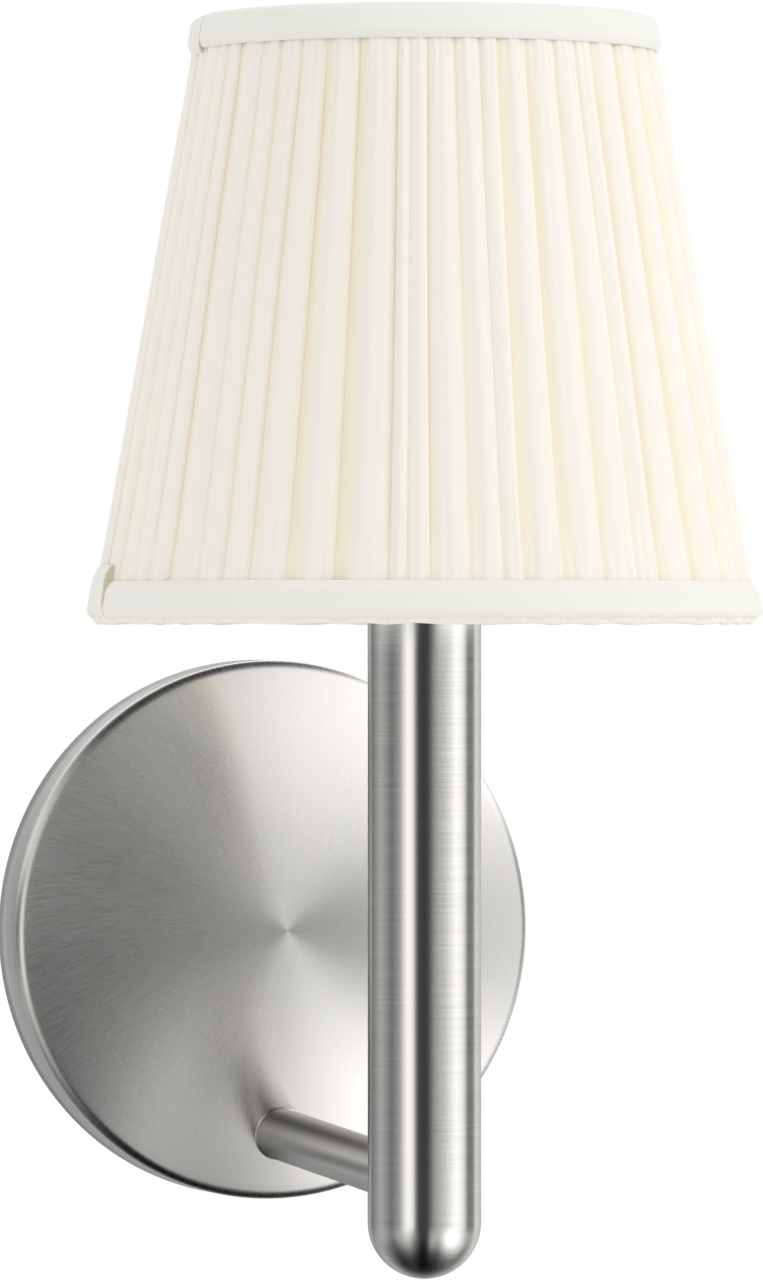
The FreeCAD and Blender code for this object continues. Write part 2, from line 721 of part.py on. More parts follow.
def lampholder_sleeve():
    corners = [("sleeve_bore", "0"), ("sleeve_radius", "0"), ("sleeve_radius", "sleeve_height"),
               ("sleeve_bore", "sleeve_height")]
    node("lampholder_sleeve", on_stem(turned("sleeve_tube", corners),
                                      f"{HOLDER_FOOT} + holder_height"))


def lampholder_core():
    """The insulating core: a cavity for the wires below and the lamp's bore above."""
    height = f"({CORE_TOP} - {HOLDER_FOOT} - holder_floor)"
    floor_top = "core_cavity_height + core_floor"
    bore = "shell_radius + thread_fit"
    hole = "rivet_radius + thread_fit"
    corners = [("core_cavity_radius", "0"), ("core_radius", "0"), ("core_radius", height),
               (bore, height), (bore, floor_top), (hole, floor_top),
               (hole, "core_cavity_height"), ("core_cavity_radius", "core_cavity_height")]
    node("lampholder_core", on_stem(turned("core_blank", corners),
                                    f"{HOLDER_FOOT} + holder_floor"))


def lampholder_contacts():
    length = f"({CORE_TOP} - {CORE_SEAT} - 1)"
    inner = "shell_radius - shell_wall"
    shell = turned("screw_shell_tube", [(inner, "0"), ("shell_radius", "0"),
                                        ("shell_radius", length), (inner, length)])
    node("lampholder_screw_shell", on_stem(shell, CORE_SEAT))
    rivet = turned("contact_rivet", [
        ("0", "0"), ("rivet_radius", "0"), ("rivet_radius", "core_floor + contact_wall"),
        ("contact_radius", "core_floor + contact_wall"),
        ("contact_radius", "core_floor + contact_wall * 2"),
        ("0", "core_floor + contact_wall * 2")])
    node("lampholder_centre_contact", on_stem(rivet, f"{CORE_SEAT} - core_floor - contact_wall"))


def retaining_ring():
    """The threaded ring that clamps the shade's fitter, notched for the fingers."""
    bore = "sleeve_radius + free_gap"
    edge = "retainer_notch_radius"
    corners = [(bore, "0"), ("retainer_radius", "0"),
               ("retainer_radius", f"retainer_height - {edge}"),
               (f"retainer_radius - {edge}", "retainer_height"), (bore, "retainer_height")]
    ring = turned("retainer_blank", corners, {2: (edge, 1)})
    seat = f"{FITTER_SEAT} + fitter_wall + free_gap"
    on_stem(ring, seat)
    notches = []
    for number in range(round(value("retainer_notches"))):
        around = f"({number} * 360 / retainer_notches)"
        notch = rod(f"notch_{number}", "retainer_notch_radius", "retainer_height * 2")
        place(notch, x=f"(retainer_radius + retainer_notch_radius / 2) * cos({around})",
              y=f"-stem_reach + (retainer_radius + retainer_notch_radius / 2) * sin({around})",
              z=f"{seat} + retainer_notch_radius")
        notches.append(notch)
    node("shade_retaining_ring", cut("notched_ring", ring, notches))


# ---------------------------------------------------------------- lamp
def lamp():
    cap_foot = f"({BULB_COLLAR} - bulb_cap_length)"
    cap = turned("cap_shell", [("0", "0"), ("bulb_cap_radius", "0"),
                               ("bulb_cap_radius", "bulb_cap_length"), ("0", "bulb_cap_length")])
    node("bulb_cap", on_stem(cap, cap_foot))
    insulator = turned("insulator_cone", [("0", "0"), ("bulb_tip_radius * 3 / 2", "0"),
                                          ("bulb_cap_radius", "bulb_insulator"),
                                          ("0", "bulb_insulator")])
    node("bulb_insulator", on_stem(insulator, f"{cap_foot} - bulb_insulator"))
    tip = turned("tip_button", [("0", "0"), ("bulb_tip_radius - bulb_tip / 2", "0"),
                                ("bulb_tip_radius", "bulb_tip / 2"),
                                ("bulb_tip_radius", "bulb_tip"), ("0", "bulb_tip")])
    node("bulb_contact", on_stem(tip, f"{cap_foot} - bulb_insulator - bulb_tip"))
    housing = turned("housing_cone", [("0", "0"), ("bulb_collar_radius", "0"),
                                      ("bulb_collar_radius", "bulb_collar_height"),
                                      ("bulb_neck_radius", "bulb_housing_height"),
                                      ("0", "bulb_housing_height")])
    node("bulb_housing", on_stem(housing, BULB_COLLAR))
    middle = "sqrt(bulb_radius^2 - bulb_neck_radius^2)"
    inner = "(bulb_radius - bulb_wall)"
    inner_neck = f"sqrt({inner}^2 - bulb_radius^2 + bulb_neck_radius^2)"
    globe = turned("globe_shell", [(inner_neck, "0"), ("bulb_neck_radius", "0"),
                                   ("0", f"{middle} + bulb_radius"),
                                   ("0", f"{middle} + {inner}")],
                   {1: ("bulb_radius", 1), 3: (inner, -1)})
    node("bulb_globe", on_stem(globe, f"{BULB_COLLAR} + bulb_housing_height"))


# ---------------------------------------------------------------- shade
def shade_lining():
    foot = "(trim_wall + glue_line)"
    head = f"(shade_height - {foot})"
    corners = [(lining_inside(foot), foot), (lining_outside(foot), foot),
               (lining_outside(head), head), (lining_inside(head), head)]
    node("shade_lining", on_stem(turned("lining_cone", corners), SHADE_FOOT))


# How the folds' widths vary: two waves, each with its swing, its pace from fold to fold and a start.
PLEAT_WAVES = ((0.30, 2.4, 0.0), (0.15, 5.1, 1.0))


def pleat_angles():
    """Where the valleys lie round the shade: gathered folds of uneven width, in radians."""
    widths = [1 + sum(swing * math.sin(pace * fold + start) for swing, pace, start in PLEAT_WAVES)
              for fold in range(round(value("pleat_count")))]
    total = sum(widths)
    angles = [0.0]
    for width in widths:
        angles.append(angles[-1] + 2 * math.pi * width / total)
    return angles


def pleat_ring(height, depth):
    """Arcs from valley to valley over the crests, at a height above the lower edge."""
    top = value(crest(height))
    valley = top - value(depth)
    angles = pleat_angles()
    level = value(height)

    def point(radius, angle):
        return Vector(radius * math.cos(angle), radius * math.sin(angle), level)

    valleys = [point(valley, angle) for angle in angles[:-1]]
    arcs = []
    for number, start in enumerate(valleys):
        middle = (angles[number] + angles[number + 1]) / 2
        end = valleys[(number + 1) % len(valleys)]
        arcs.append(Part.Arc(start, point(top, middle), end).toShape())
    return Part.Wire(arcs)


def pleated_cover():
    """The gathered fabric: folds pressed flat under the bindings, full between them."""
    foot = "(trim_wall + glue_line)"
    head = f"(shade_height - {foot})"
    rings = [pleat_ring(foot, "pleat_depth_bound"),
             pleat_ring("bottom_trim_height + trim_wall", "pleat_depth"),
             pleat_ring("shade_height - top_trim_height - trim_wall", "pleat_depth"),
             pleat_ring(head, "pleat_depth_bound")]
    folds = Part.makeLoft(rings, True, True)
    clear = value("glue_line") / 2
    inside = Part.makeCone(value(lining_outside("0")) + clear,
                           value(lining_outside("shade_height")) + clear,
                           value("shade_height"))
    cover = computed("pleated_cover", folds.cut(inside))
    on_stem(cover, SHADE_FOOT)


def trim_corners(trim_height, level):
    """U section of a binding: outer leg over the folds, inner leg inside the ring wire.

    level turns a height above the binding's own fold into one above the shade's lower edge.
    """
    fold = level("0")
    inner_ring = "(trim_wall + glue_line + ring_wire)"

    def outer(height):
        return f"({crest(level(height))} + glue_line)"

    def inner(height):
        leg = f"{ring_centre(level(inner_ring))} - ring_wire - glue_line"
        slant = f"{crest(level(height))} - {crest(level(inner_ring))}"
        return f"({leg} + {slant} - ring_wire * {SPREAD})"

    return [(f"{outer('0')} + trim_wall", fold),
            (f"{outer(trim_height)} + trim_wall", level(trim_height)),
            (outer(trim_height), level(trim_height)),
            (outer("trim_wall"), level("trim_wall")),
            (inner("trim_wall"), level("trim_wall")),
            (inner("trim_inner_height"), level("trim_inner_height")),
            (f"{inner('trim_inner_height')} - trim_wall", level("trim_inner_height")),
            (f"{inner('0')} - trim_wall", fold)]


def rounded_trim(label, trim_height, level):
    """A turned binding with its two outer edges along the fold rounded."""
    body = turned(f"{label}_body", trim_corners(trim_height, level))
    DOC.recompute()
    fold_height = value(level("0"))
    names = []
    for number, edge in enumerate(body.Tip.Shape.Edges, start=1):
        points = [vertex.Point for vertex in edge.Vertexes]
        if edge.Closed and abs(points[0].z - fold_height) < 1e-6:
            names.append(f"Edge{number}")
    section = body.Tip
    rounding = body.newObject("PartDesign::Fillet", f"{label}_rounding")
    rounding.Base = (section, names)
    bind(rounding, "Radius", "trim_round")
    body.Tip = rounding
    return on_stem(body, SHADE_FOOT)


def trims():
    """Both bindings; the lower one is slit where the fitter's arms pass through it."""
    lower = rounded_trim("lower_binding", "bottom_trim_height", lambda height: f"({height})")
    slits = DOC.addObject("Part::Feature", "binding_slits")
    slits.Shape = fitter_bars(value("fitter_arm_radius + glue_line"))
    on_stem(slits, SHADE_FOOT)
    node("bottom_trim", cut("slit_binding", lower, [slits]))
    node("top_trim", rounded_trim("upper_binding", "top_trim_height",
                                  lambda height: f"(shade_height - ({height}))"))


def ring_wires():
    for label, height in (("shade_bottom_ring", LOWER_RING), ("shade_top_ring", UPPER_RING)):
        ring = DOC.addObject("Part::Torus", f"{label}_wire")
        bind(ring, "Radius1", ring_centre(height))
        bind(ring, "Radius2", "ring_wire")
        node(label, on_stem(ring, f"{SHADE_FOOT} + {height}"))


def fitter_bars(radius):
    """Three bars from the fitter's rim down to the lower ring wire, coped to both."""
    height = value("fitter_rise + fitter_wall / 2")
    wire_height = value(LOWER_RING)
    ring_radius = value(ring_centre(LOWER_RING))
    rim = value("fitter_radius")
    knee = rim + value("fitter_knee")
    points = [Vector(rim - radius, 0, height), Vector(knee, 0, height),
              Vector(ring_radius, 0, wire_height)]
    bar = tube_along(points, [value("fitter_arm_bend")], radius)
    disc = Part.makeCylinder(rim, radius * 4, Vector(0, 0, height - radius * 2))
    wire = Part.makeTorus(ring_radius, value("ring_wire"), Vector(0, 0, wire_height))
    coped = max(bar.cut(disc).cut(wire).Solids, key=lambda solid: solid.Volume)
    bars = []
    for number in range(round(value("fitter_arms"))):
        arm = coped.copy()
        arm.rotate(Vector(0, 0, 0), Vector(0, 0, 1), 90 + number * 360 / value("fitter_arms"))
        bars.append(arm)
    return Part.makeCompound(bars)


def fitter():
    """The ring that sits on the lampholder, and three arms welded to it and the lower ring."""
    hole = "sleeve_radius + free_gap"
    ring = turned("fitter_disc", [(hole, "0"), ("fitter_radius", "0"),
                                  ("fitter_radius", "fitter_wall"), (hole, "fitter_wall")])
    node("shade_fitter_ring", on_stem(ring, FITTER_SEAT))

    bars = fitter_bars(value("fitter_arm_radius"))
    on_stem(computed("shade_fitter_arms", bars), SHADE_FOOT)


# ---------------------------------------------------------------- wires
def supply_wires():
    """Live and neutral, from the block through the arm and up the stem to the lampholder."""
    bend = value("wire_bend")
    slope = math.radians(value("arm_slope"))
    pole_depth = value(POLE_DEPTH)
    reach = value("stem_reach")
    drop = value(ARM_DROP)
    mouth = value("strap_wall + wire_clear + wire_radius")
    block_foot = value("block_offset")
    top = value(f"{HOLDER_FOOT} + holder_floor + core_cavity_height - free_gap")
    mouth_height = -drop + (reach - mouth) * math.tan(slope)
    for label, side in (("live_wire", 1), ("neutral_wire", -1)):
        across = side * value("wire_offset")
        pole = side * value("pole_spacing")
        points = [Vector(pole, -pole_depth, block_foot + value("wire_entry")),
                  Vector(pole, -pole_depth, block_foot - value("wire_lead")),
                  Vector(across, -mouth, mouth_height / 2),
                  Vector(across, -mouth, mouth_height),
                  Vector(across, -reach, -drop),
                  Vector(across, -reach, top)]
        radii = [bend * 2, bend * 2, bend, bend]
        computed(label, tube_along(points, radii, value("wire_radius")))


def earth_wire():
    """From the block's middle pole to the tongue of the tag under the earth screw."""
    pole_depth = value(POLE_DEPTH)
    tag_face = value("strap_wall + earth_washer_wall * 2 + wire_radius + glue_line")
    block_top = value("block_offset + block_rise")
    tongue = value("earth_offset - earth_tag_length")
    end = value("earth_offset - earth_head_radius - free_gap * 2")
    bend = value("wire_bend")
    points = [Vector(0, -pole_depth, block_top - value("wire_entry")),
              Vector(0, -pole_depth, block_top + bend),
              Vector(0, -tag_face, tongue),
              Vector(0, -tag_face, end)]
    computed("earth_wire", tube_along(points, [bend, bend], value("wire_radius")))


# ---------------------------------------------------------------- checks and files
def check_document():
    """Stop if any object failed or any sub-part has no valid solid."""
    DOC.recompute()
    for thing in DOC.Objects:
        if {"Invalid", "Error"} & set(thing.State):
            raise RuntimeError(f"{thing.Name} failed: {thing.State}")
    for thing in NODES:
        shape = thing.Shape
        if shape.isNull() or not shape.isValid() or not shape.Solids:
            raise RuntimeError(f"{thing.Label} has no valid solid")


def write_parts():
    os.makedirs("parts", exist_ok=True)
    for thing in NODES:
        thing.Shape.exportStep(f"parts/{thing.Label}.step")


def main():
    fill_sheet()
    backplate_cover()
    wall_bracket()
    cable_grommet()
    cover_screws()
    terminal_block()
    earth_terminal()
    arm_tube()
    arm_fastening()
    stem_tube()
    stem_bush()
    stem_cap()
    holder_fastening()
    lampholder_base()
    lampholder_sleeve()
    lampholder_core()
    lampholder_contacts()
    retaining_ring()
    lamp()
    shade_lining()
    pleated_cover()
    trims()
    ring_wires()
    fitter()
    supply_wires()
    earth_wire()
    check_document()
    write_parts()
    for thing in NODES:
        print(f"{thing.Label:28s} solids {len(thing.Shape.Solids)}"
              f" volume {thing.Shape.Volume:10.1f}")


main()
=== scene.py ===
"""Looks of a wall light with a gathered fabric shade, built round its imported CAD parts.

Metres. The origin is on the wall behind the backplate's centre, +Y points into the wall,
+X to the right for someone who faces it, and +Z up.
"""
import math

import bmesh
import bpy
import numpy as np
from bpy.props import FloatProperty, FloatVectorProperty, IntProperty, PointerProperty
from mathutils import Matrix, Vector


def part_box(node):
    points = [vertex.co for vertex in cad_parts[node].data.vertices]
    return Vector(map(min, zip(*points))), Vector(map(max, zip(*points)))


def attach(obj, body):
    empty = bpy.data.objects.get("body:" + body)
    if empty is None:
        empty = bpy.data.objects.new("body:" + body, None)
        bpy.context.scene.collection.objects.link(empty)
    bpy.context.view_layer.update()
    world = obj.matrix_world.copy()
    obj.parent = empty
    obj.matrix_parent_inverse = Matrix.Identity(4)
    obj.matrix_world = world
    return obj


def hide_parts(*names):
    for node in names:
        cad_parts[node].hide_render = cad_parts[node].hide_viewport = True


bl_info = {
    "name": "Gathered shade wall light",
    "version": (1, 0, 0),
    "blender": (4, 5, 0),
    "location": "View3D > Sidebar > Wall light",
    "description": "Builds the looks of a brushed steel wall light with a gathered fabric shade",
    "category": "Object",
}

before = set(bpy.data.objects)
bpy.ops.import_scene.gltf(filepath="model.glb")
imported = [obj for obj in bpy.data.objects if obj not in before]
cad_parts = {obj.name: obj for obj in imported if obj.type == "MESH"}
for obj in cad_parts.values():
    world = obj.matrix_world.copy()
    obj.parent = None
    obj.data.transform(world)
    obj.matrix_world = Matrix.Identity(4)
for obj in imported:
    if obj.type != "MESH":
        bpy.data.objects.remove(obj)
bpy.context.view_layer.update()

MM = 0.001
FULL_TURN = 2 * math.pi


def span(node, axis):
    """Length of a CAD node's box along one axis, 0 to 2."""
    low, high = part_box(node)
    return high[axis] - low[axis]


PLATE_LOW, PLATE_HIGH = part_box("backplate_cover")
STEM_LOW, STEM_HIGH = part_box("stem_tube")
COVER_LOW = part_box("pleated_cover")[0]
STEM_Y = (STEM_LOW.y + STEM_HIGH.y) / 2
SHADE_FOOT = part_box("bottom_trim")[0].z
SHADE_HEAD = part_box("top_trim")[1].z


# ---------------------------------------------------------------- settings
def metres(name, description, default):
    """A setting that is a length."""
    return FloatProperty(name=name, description=description, default=default, unit="LENGTH")


class MetalSettings(bpy.types.PropertyGroup):
    """Sizes and finish of the backplate, the arm and the stem."""
    steel: FloatVectorProperty(
        name="Steel", description="Colour of the brushed steel", subtype="COLOR",
        default=(0.62, 0.605, 0.585), min=0, max=1)
    plate_rim: metres("Rim", "Straight side of the backplate, from the wall", 12 * MM)
    plate_bend: metres("Rolled edge", "Outer radius of the backplate's rolled edge", 3 * MM)
    plate_wall: metres("Sheet", "Thickness of the spun sheet and of the stem's tube", 1.2 * MM)
    swirl: FloatProperty(
        name="Swirl", description="How far the brushing turns away from the radius, per metre",
        default=4.5, min=0)
    arm_inset: metres(
        "Arm above the plate's foot",
        "Height over the plate's lowest point where the arm meets the stem's axis", 10.1 * MM)
    arm_slope: FloatProperty(
        name="Arm slope", description="How far the arm falls away from the wall",
        default=math.radians(3), subtype="ANGLE")
    arm_bore: metres("Arm bore", "Inner radius of the arm's tube", 5.05 * MM)


class ShadeSettings(bpy.types.PropertyGroup):
    """Sizes and colours of the gathered cover and its two bindings."""
    cotton: FloatVectorProperty(
        name="Cotton", description="Colour of the gathered cover", subtype="COLOR",
        default=(0.91, 0.865, 0.785), min=0, max=1)
    # Painted shade: the yellowed colour that the cloth is given deep in its folds
    painted_shade: FloatVectorProperty(
        name="Hollows", description="Colour of the cover deep in its folds", subtype="COLOR",
        default=(0.90, 0.82, 0.64), min=0, max=1)
    tape: FloatVectorProperty(
        name="Tape", description="Colour of the binding tape", subtype="COLOR",
        default=(0.84, 0.832, 0.775), min=0, max=1)
    fold_depth: metres("Fold depth", "Depth of an average fold between the bindings", 1.3 * MM)
    bound_depth: metres("Bound depth", "Depth of a fold where a binding presses it", 0.7 * MM)
    gather_depth: metres(
        "Small gathers", "Depth of the small gathers beside the bindings", 0.5 * MM)
    fabric_wall: metres("Cloth", "Thickness of the gathered cloth", 0.4 * MM)
    tape_wall: metres("Tape thickness", "Thickness of the folded tape", 1.1 * MM)
    upper_tape: metres("Upper tape", "Height of the upper binding", 7.8 * MM)
    lower_tape: metres("Lower tape", "Height of the lower binding", 8.3 * MM)
    samples: IntProperty(
        name="Samples", description="Points across each fold", default=19, min=9)


class StageSettings(bpy.types.PropertyGroup):
    """The camera, the floor and the light."""
    camera_turn: FloatProperty(
        name="Camera turn", description="How far the camera stands to the left of the light",
        default=math.radians(19.17), subtype="ANGLE")
    camera_reach: metres("Camera distance", "From the stem's axis to the camera", 1.8935)
    camera_height: metres("Camera height", "Above the backplate's centre", 0.069)
    lens: FloatProperty(
        name="Lens", description="Focal length for a 36 mm high picture", default=241.8)
    floor_drop: metres("Floor", "How far the floor is under the backplate's centre", 0.25)
    key: FloatProperty(
        name="Key light", description="Strength of the soft light from the right", default=0.15)
    fill: FloatProperty(
        name="Fill", description="Strength of the room's even light", default=0.98)


# ---------------------------------------------------------------- mesh helpers
def grid_quads(rows, columns, close_rows, close_columns):
    """Quads between neighbouring points of a grid; a closed side joins its last line to the first.

    Also gives each corner's row and column before they wrap, for a pattern without a break.
    """
    row = np.arange(rows if close_rows else rows - 1)[:, None]
    column = np.arange(columns if close_columns else columns - 1)[None, :]
    row, column = np.broadcast_arrays(row, column)
    rows_of = np.stack([row, row + 1, row + 1, row], -1).reshape(-1, 4)
    columns_of = np.stack([column, column, column + 1, column + 1], -1).reshape(-1, 4)
    return (rows_of % rows) * columns + columns_of % columns, rows_of, columns_of


def mesh_piece(name, points, quads, corners=None, painted_shade=None):
    """A closed mesh from points and quads, faces outwards.

    corners are flat cloth coordinates for each quad's corners, and painted_shade says for each
    point how strongly it takes painted shade, which follows how deep it lies in a fold or in the
    seam's groove.
    """
    mesh = bpy.data.meshes.new(name)
    mesh.from_pydata(points.reshape(-1, 3).tolist(), [], quads.tolist())
    if painted_shade is not None:
        layer = mesh.attributes.new("painted_shade", "FLOAT", "POINT")
        layer.data.foreach_set("value", painted_shade.astype(np.float32).ravel())
    if corners is not None:
        layer = mesh.uv_layers.new(name="Cloth")
        layer.data.foreach_set("uv", corners.astype(np.float32).ravel())
    work = bmesh.new()
    work.from_mesh(mesh)
    bmesh.ops.remove_doubles(work, verts=work.verts, dist=1e-7)
    bmesh.ops.recalc_face_normals(work, faces=work.faces)
    work.to_mesh(mesh)
    work.free()
    mesh.shade_smooth()
    mesh.set_sharp_from_angle(angle=math.radians(40))
    piece = bpy.data.objects.new(name, mesh)
    bpy.context.scene.collection.objects.link(piece)
    return piece


def settle(piece, body, slot, material, *nodes):
    """Fix a piece to its body, its finish and the CAD nodes that it stands for."""
    piece.data.materials.append(material)
    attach(piece, body)
    if nodes:
        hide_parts(*nodes)
    return piece


def arc(centre, radius, start, end, count):
    """Points on a circle about centre, from one angle to another in degrees."""
    turn = np.radians(np.linspace(start, end, count))
    return np.stack([centre[0] + radius * np.cos(turn), centre[1] + radius * np.sin(turn)], 1)


def turned(profile, segments, place):
    """A profile of (radius, height) points carried round an axis.

    place turns radius times cosine, radius times sine and height into a point.
    """
    turn = np.linspace(0, FULL_TURN, segments, endpoint=False)[None, :]
    radius, height = profile[:, :1], profile[:, 1:]
    return place(radius * np.cos(turn), radius * np.sin(turn), height + 0 * turn)


def about_plate(across, up, out):
    """Round the backplate's axis, heights measured out of the wall."""
    return np.stack([across, -out, up], -1)


def about_stem(across, deep, up):
    """Round the stem's axis."""
    return np.stack([across, deep + STEM_Y, up], -1)


def smooth(low, high, x):
    """0 below low, 1 above high, and 3t^2 - 2t^3 between them."""
    t = np.clip((x - low) / (high - low), 0, 1)
    return t * t * (3 - 2 * t)


# ---------------------------------------------------------------- material helpers
def add(tree, kind, inputs=None, **settings):
    """A new shader node; an input is a constant or another node's output."""
    made = tree.nodes.new("ShaderNode" + kind)
    for name, setting in settings.items():
        setattr(made, name, setting)
    for socket, value in (inputs or {}).items():
        if isinstance(value, bpy.types.NodeSocket):
            tree.links.new(value, made.inputs[socket])
        else:
            made.inputs[socket].default_value = value
    return made


def calc(tree, operation, *values):
    """One Math node's result."""
    return add(tree, "Math", dict(enumerate(values)), operation=operation).outputs[0]


def vector(tree, operation, *values):
    """One Vector Math node's result."""
    return add(tree, "VectorMath", dict(enumerate(values)), operation=operation).outputs[0]


def coloured(tree, amount, low, high):
    """Mix of two colours by an amount from 0 to 1; low may be another node's output."""
    if not isinstance(low, bpy.types.NodeSocket):
        low = (*low, 1)
    return add(tree, "Mix", {0: amount, 6: low, 7: (*high, 1)}, data_type="RGBA").outputs[2]


def ranged(tree, value, low, high, to_low, to_high):
    """A value's range stretched onto another range, and held inside it."""
    return add(tree, "MapRange", {0: value, 1: low, 2: high, 3: to_low, 4: to_high}).outputs[0]


def finish(name, **constants):
    """A Principled material with its constants on the shader's own sockets."""
    material = bpy.data.materials.new(name)
    material.use_nodes = True
    shader = material.node_tree.nodes["Principled BSDF"]
    for socket, value in constants.items():
        socket = socket.replace("_", " ").title().replace("Ior", "IOR")
        colour = isinstance(value, tuple) and "Radius" not in socket
        shader.inputs[socket].default_value = (*value, 1) if colour else value
    return material, material.node_tree, shader


def wire_up(tree, shader, **sources):
    """Link nodes' outputs to the shader's inputs of the same names."""
    for socket, source in sources.items():
        tree.links.new(source, shader.inputs[socket.replace("_", " ").title()])


def bumped(tree, height, distance, strength=1.0, under=None):
    """Normal of a bump map whose full height is distance, in metres."""
    inputs = {"Height": height, "Distance": distance, "Strength": strength}
    if under is not None:
        inputs["Normal"] = under
    return add(tree, "Bump", inputs).outputs[0]


def place_on_object(tree):
    """A point's place on its own object, in metres."""
    return add(tree, "TexCoord").outputs["Object"]


def noise(tree, position, scale, detail=2.0, roughness=0.5):
    """Soft noise from 0 to 1 at a position."""
    return add(tree, "TexNoise", {"Vector": position, "Scale": scale, "Detail": detail,
                                  "Roughness": roughness}).outputs["Fac"]


def tinted(colour, factor):
    """A colour made darker or lighter by a factor."""
    return tuple(min(1.0, channel * factor) for channel in colour)


def brushed(name, colour, streaks, tangent, roughness, stretch, bump):
    """Brushed steel: long fine streaks in its shade and its roughness, and a smeared gloss.

    streaks gives the pattern's coordinates, already stretched along the brushing, and tangent
    the direction in which the gloss is drawn out.
    """
    material, tree, shader = finish(name, metallic=1.0, anisotropic=stretch)
    fine = noise(tree, streaks(tree), 1.0, 3.0, 0.6)
    broad = noise(tree, place_on_object(tree), 22.0, 2.0)
    shade = calc(tree, "ADD", calc(tree, "MULTIPLY", fine, 0.75),
                 calc(tree, "MULTIPLY", broad, 0.25))
    base = coloured(tree, ranged(tree, shade, 0.3, 0.7, 0.0, 1.0),
                    tinted(colour, 0.93), tinted(colour, 1.06))
    rough = ranged(tree, fine, 0.3, 0.7, roughness - 0.02, roughness + 0.02)
    wire_up(tree, shader, base_color=base, roughness=rough,
            normal=bumped(tree, fine, bump, 0.5), tangent=tangent(tree))
    return material


def plain_metal(name, colour, roughness, speck=900.0, bump=0.00002):
    """Plated or turned metal: fine grain, faint stains and small dull specks."""
    material, tree, shader = finish(name, metallic=1.0)
    place = place_on_object(tree)
    grain = noise(tree, place, speck, 3.0)
    stain = noise(tree, place, 60.0, 2.0)
    base = coloured(tree, ranged(tree, stain, 0.35, 0.7, 0.0, 1.0), tinted(colour, 0.86),
                    tinted(colour, 1.05))
    wire_up(tree, shader, base_color=base,
            roughness=ranged(tree, grain, 0.3, 0.7, roughness - 0.06, roughness + 0.08),
            normal=bumped(tree, grain, bump, 0.6))
    return material


def moulded(name, colour, roughness, grain=2500.0, bump=0.00002, **constants):
    """Moulded plastic or rubber: a fine eroded texture and slight unevenness of colour."""
    material, tree, shader = finish(name, **constants)
    place = place_on_object(tree)
    fine = noise(tree, place, grain, 2.0)
    slow = noise(tree, place, 45.0, 2.0)
    base = coloured(tree, ranged(tree, slow, 0.3, 0.7, 0.0, 1.0), tinted(colour, 0.95),
                    tinted(colour, 1.03))
    wire_up(tree, shader, base_color=base,
            roughness=ranged(tree, slow, 0.3, 0.7, roughness - 0.05, roughness + 0.05),
            normal=bumped(tree, fine, bump, 0.5))
    return material


def woven(name, colour, valley, thread, slub, bump, soak, deep=None):
    """Plain weave on the piece's own cloth coordinates, with uneven yarns.

    Height is the product of two waves at right angles, one thread to a wave, roughened by noise
    drawn out along each yarn. valley is the deeper colour between the threads, soak how much light
    passes on inside the cloth, and deep the colour of the painted shade, laid on where the
    painted_shade attribute says, deep in a fold or along a seam.
    """
    material, tree, shader = finish(name, sheen_weight=0.15, sheen_roughness=0.5,
                                    subsurface_weight=soak, subsurface_scale=1.5 * MM,
                                    subsurface_radius=(1.0, 0.95, 0.85))
    cloth = add(tree, "UVMap", uv_map="Cloth").outputs[0]
    parts = add(tree, "SeparateXYZ", {0: cloth})
    turns = FULL_TURN / thread
    warp = calc(tree, "SINE", calc(tree, "MULTIPLY", parts.outputs[0], turns))
    weft = calc(tree, "SINE", calc(tree, "MULTIPLY", parts.outputs[1], turns))
    cross = calc(tree, "MULTIPLY_ADD", calc(tree, "MULTIPLY", warp, weft), 0.5, 0.5)
    along = noise(tree, vector(tree, "MULTIPLY", cloth, (1 / thread, 40.0, 1.0)), 0.7, 2.0)
    around = noise(tree, vector(tree, "MULTIPLY", cloth, (40.0, 1 / thread, 1.0)), 0.7, 2.0)
    yarn = calc(tree, "MULTIPLY", calc(tree, "ADD", along, around), 0.5)
    height = calc(tree, "ADD", calc(tree, "MULTIPLY", cross, 0.6),
                  calc(tree, "MULTIPLY", yarn, slub))
    tone = ranged(tree, height, 0.15, 0.85, 0.0, 1.0)
    slow = ranged(tree, noise(tree, place_on_object(tree), 28.0, 2.0), 0.3, 0.7, -0.15, 0.15)
    base = coloured(tree, calc(tree, "ADD", tone, slow), valley, colour)
    # Painted shade: the colour deep is mixed in by the painted_shade attribute, in the folds'
    # hollows and along the tape's seam
    if deep is not None:
        painted_shade = add(tree, "Attribute", attribute_name="painted_shade").outputs["Fac"]
        base = coloured(tree, painted_shade, base, deep)
    wire_up(tree, shader, base_color=base,
            roughness=ranged(tree, yarn, 0.3, 0.7, 0.82, 0.95),
            normal=bumped(tree, height, bump, 0.6))
    return material


# ---------------------------------------------------------------- finishes of this light
def swirled(tree, swirl):
    """Offset from the backplate's axis, turned by swirl times its length, and that length."""
    place = vector(tree, "MULTIPLY", place_on_object(tree), (1.0, 0.0, 1.0))
    reach = add(tree, "VectorMath", {0: place}, operation="LENGTH").outputs[1]
    turn = calc(tree, "MULTIPLY", reach, swirl)
    return add(tree, "VectorRotate", {"Vector": place, "Angle": turn},
               rotation_type="Y_AXIS").outputs[0], reach


def plate_streaks(swirl):
    """Brushing that runs out from the backplate's centre and turns a little as it goes."""
    def streaks(tree):
        turned_back, reach = swirled(tree, swirl)
        round_it = vector(tree, "SCALE", vector(tree, "NORMALIZE", turned_back))
        round_it.node.inputs["Scale"].default_value = 170.0
        out = add(tree, "CombineXYZ", {"Y": calc(tree, "MULTIPLY", reach, 150.0)}).outputs[0]
        return vector(tree, "ADD", round_it, out)
    return streaks


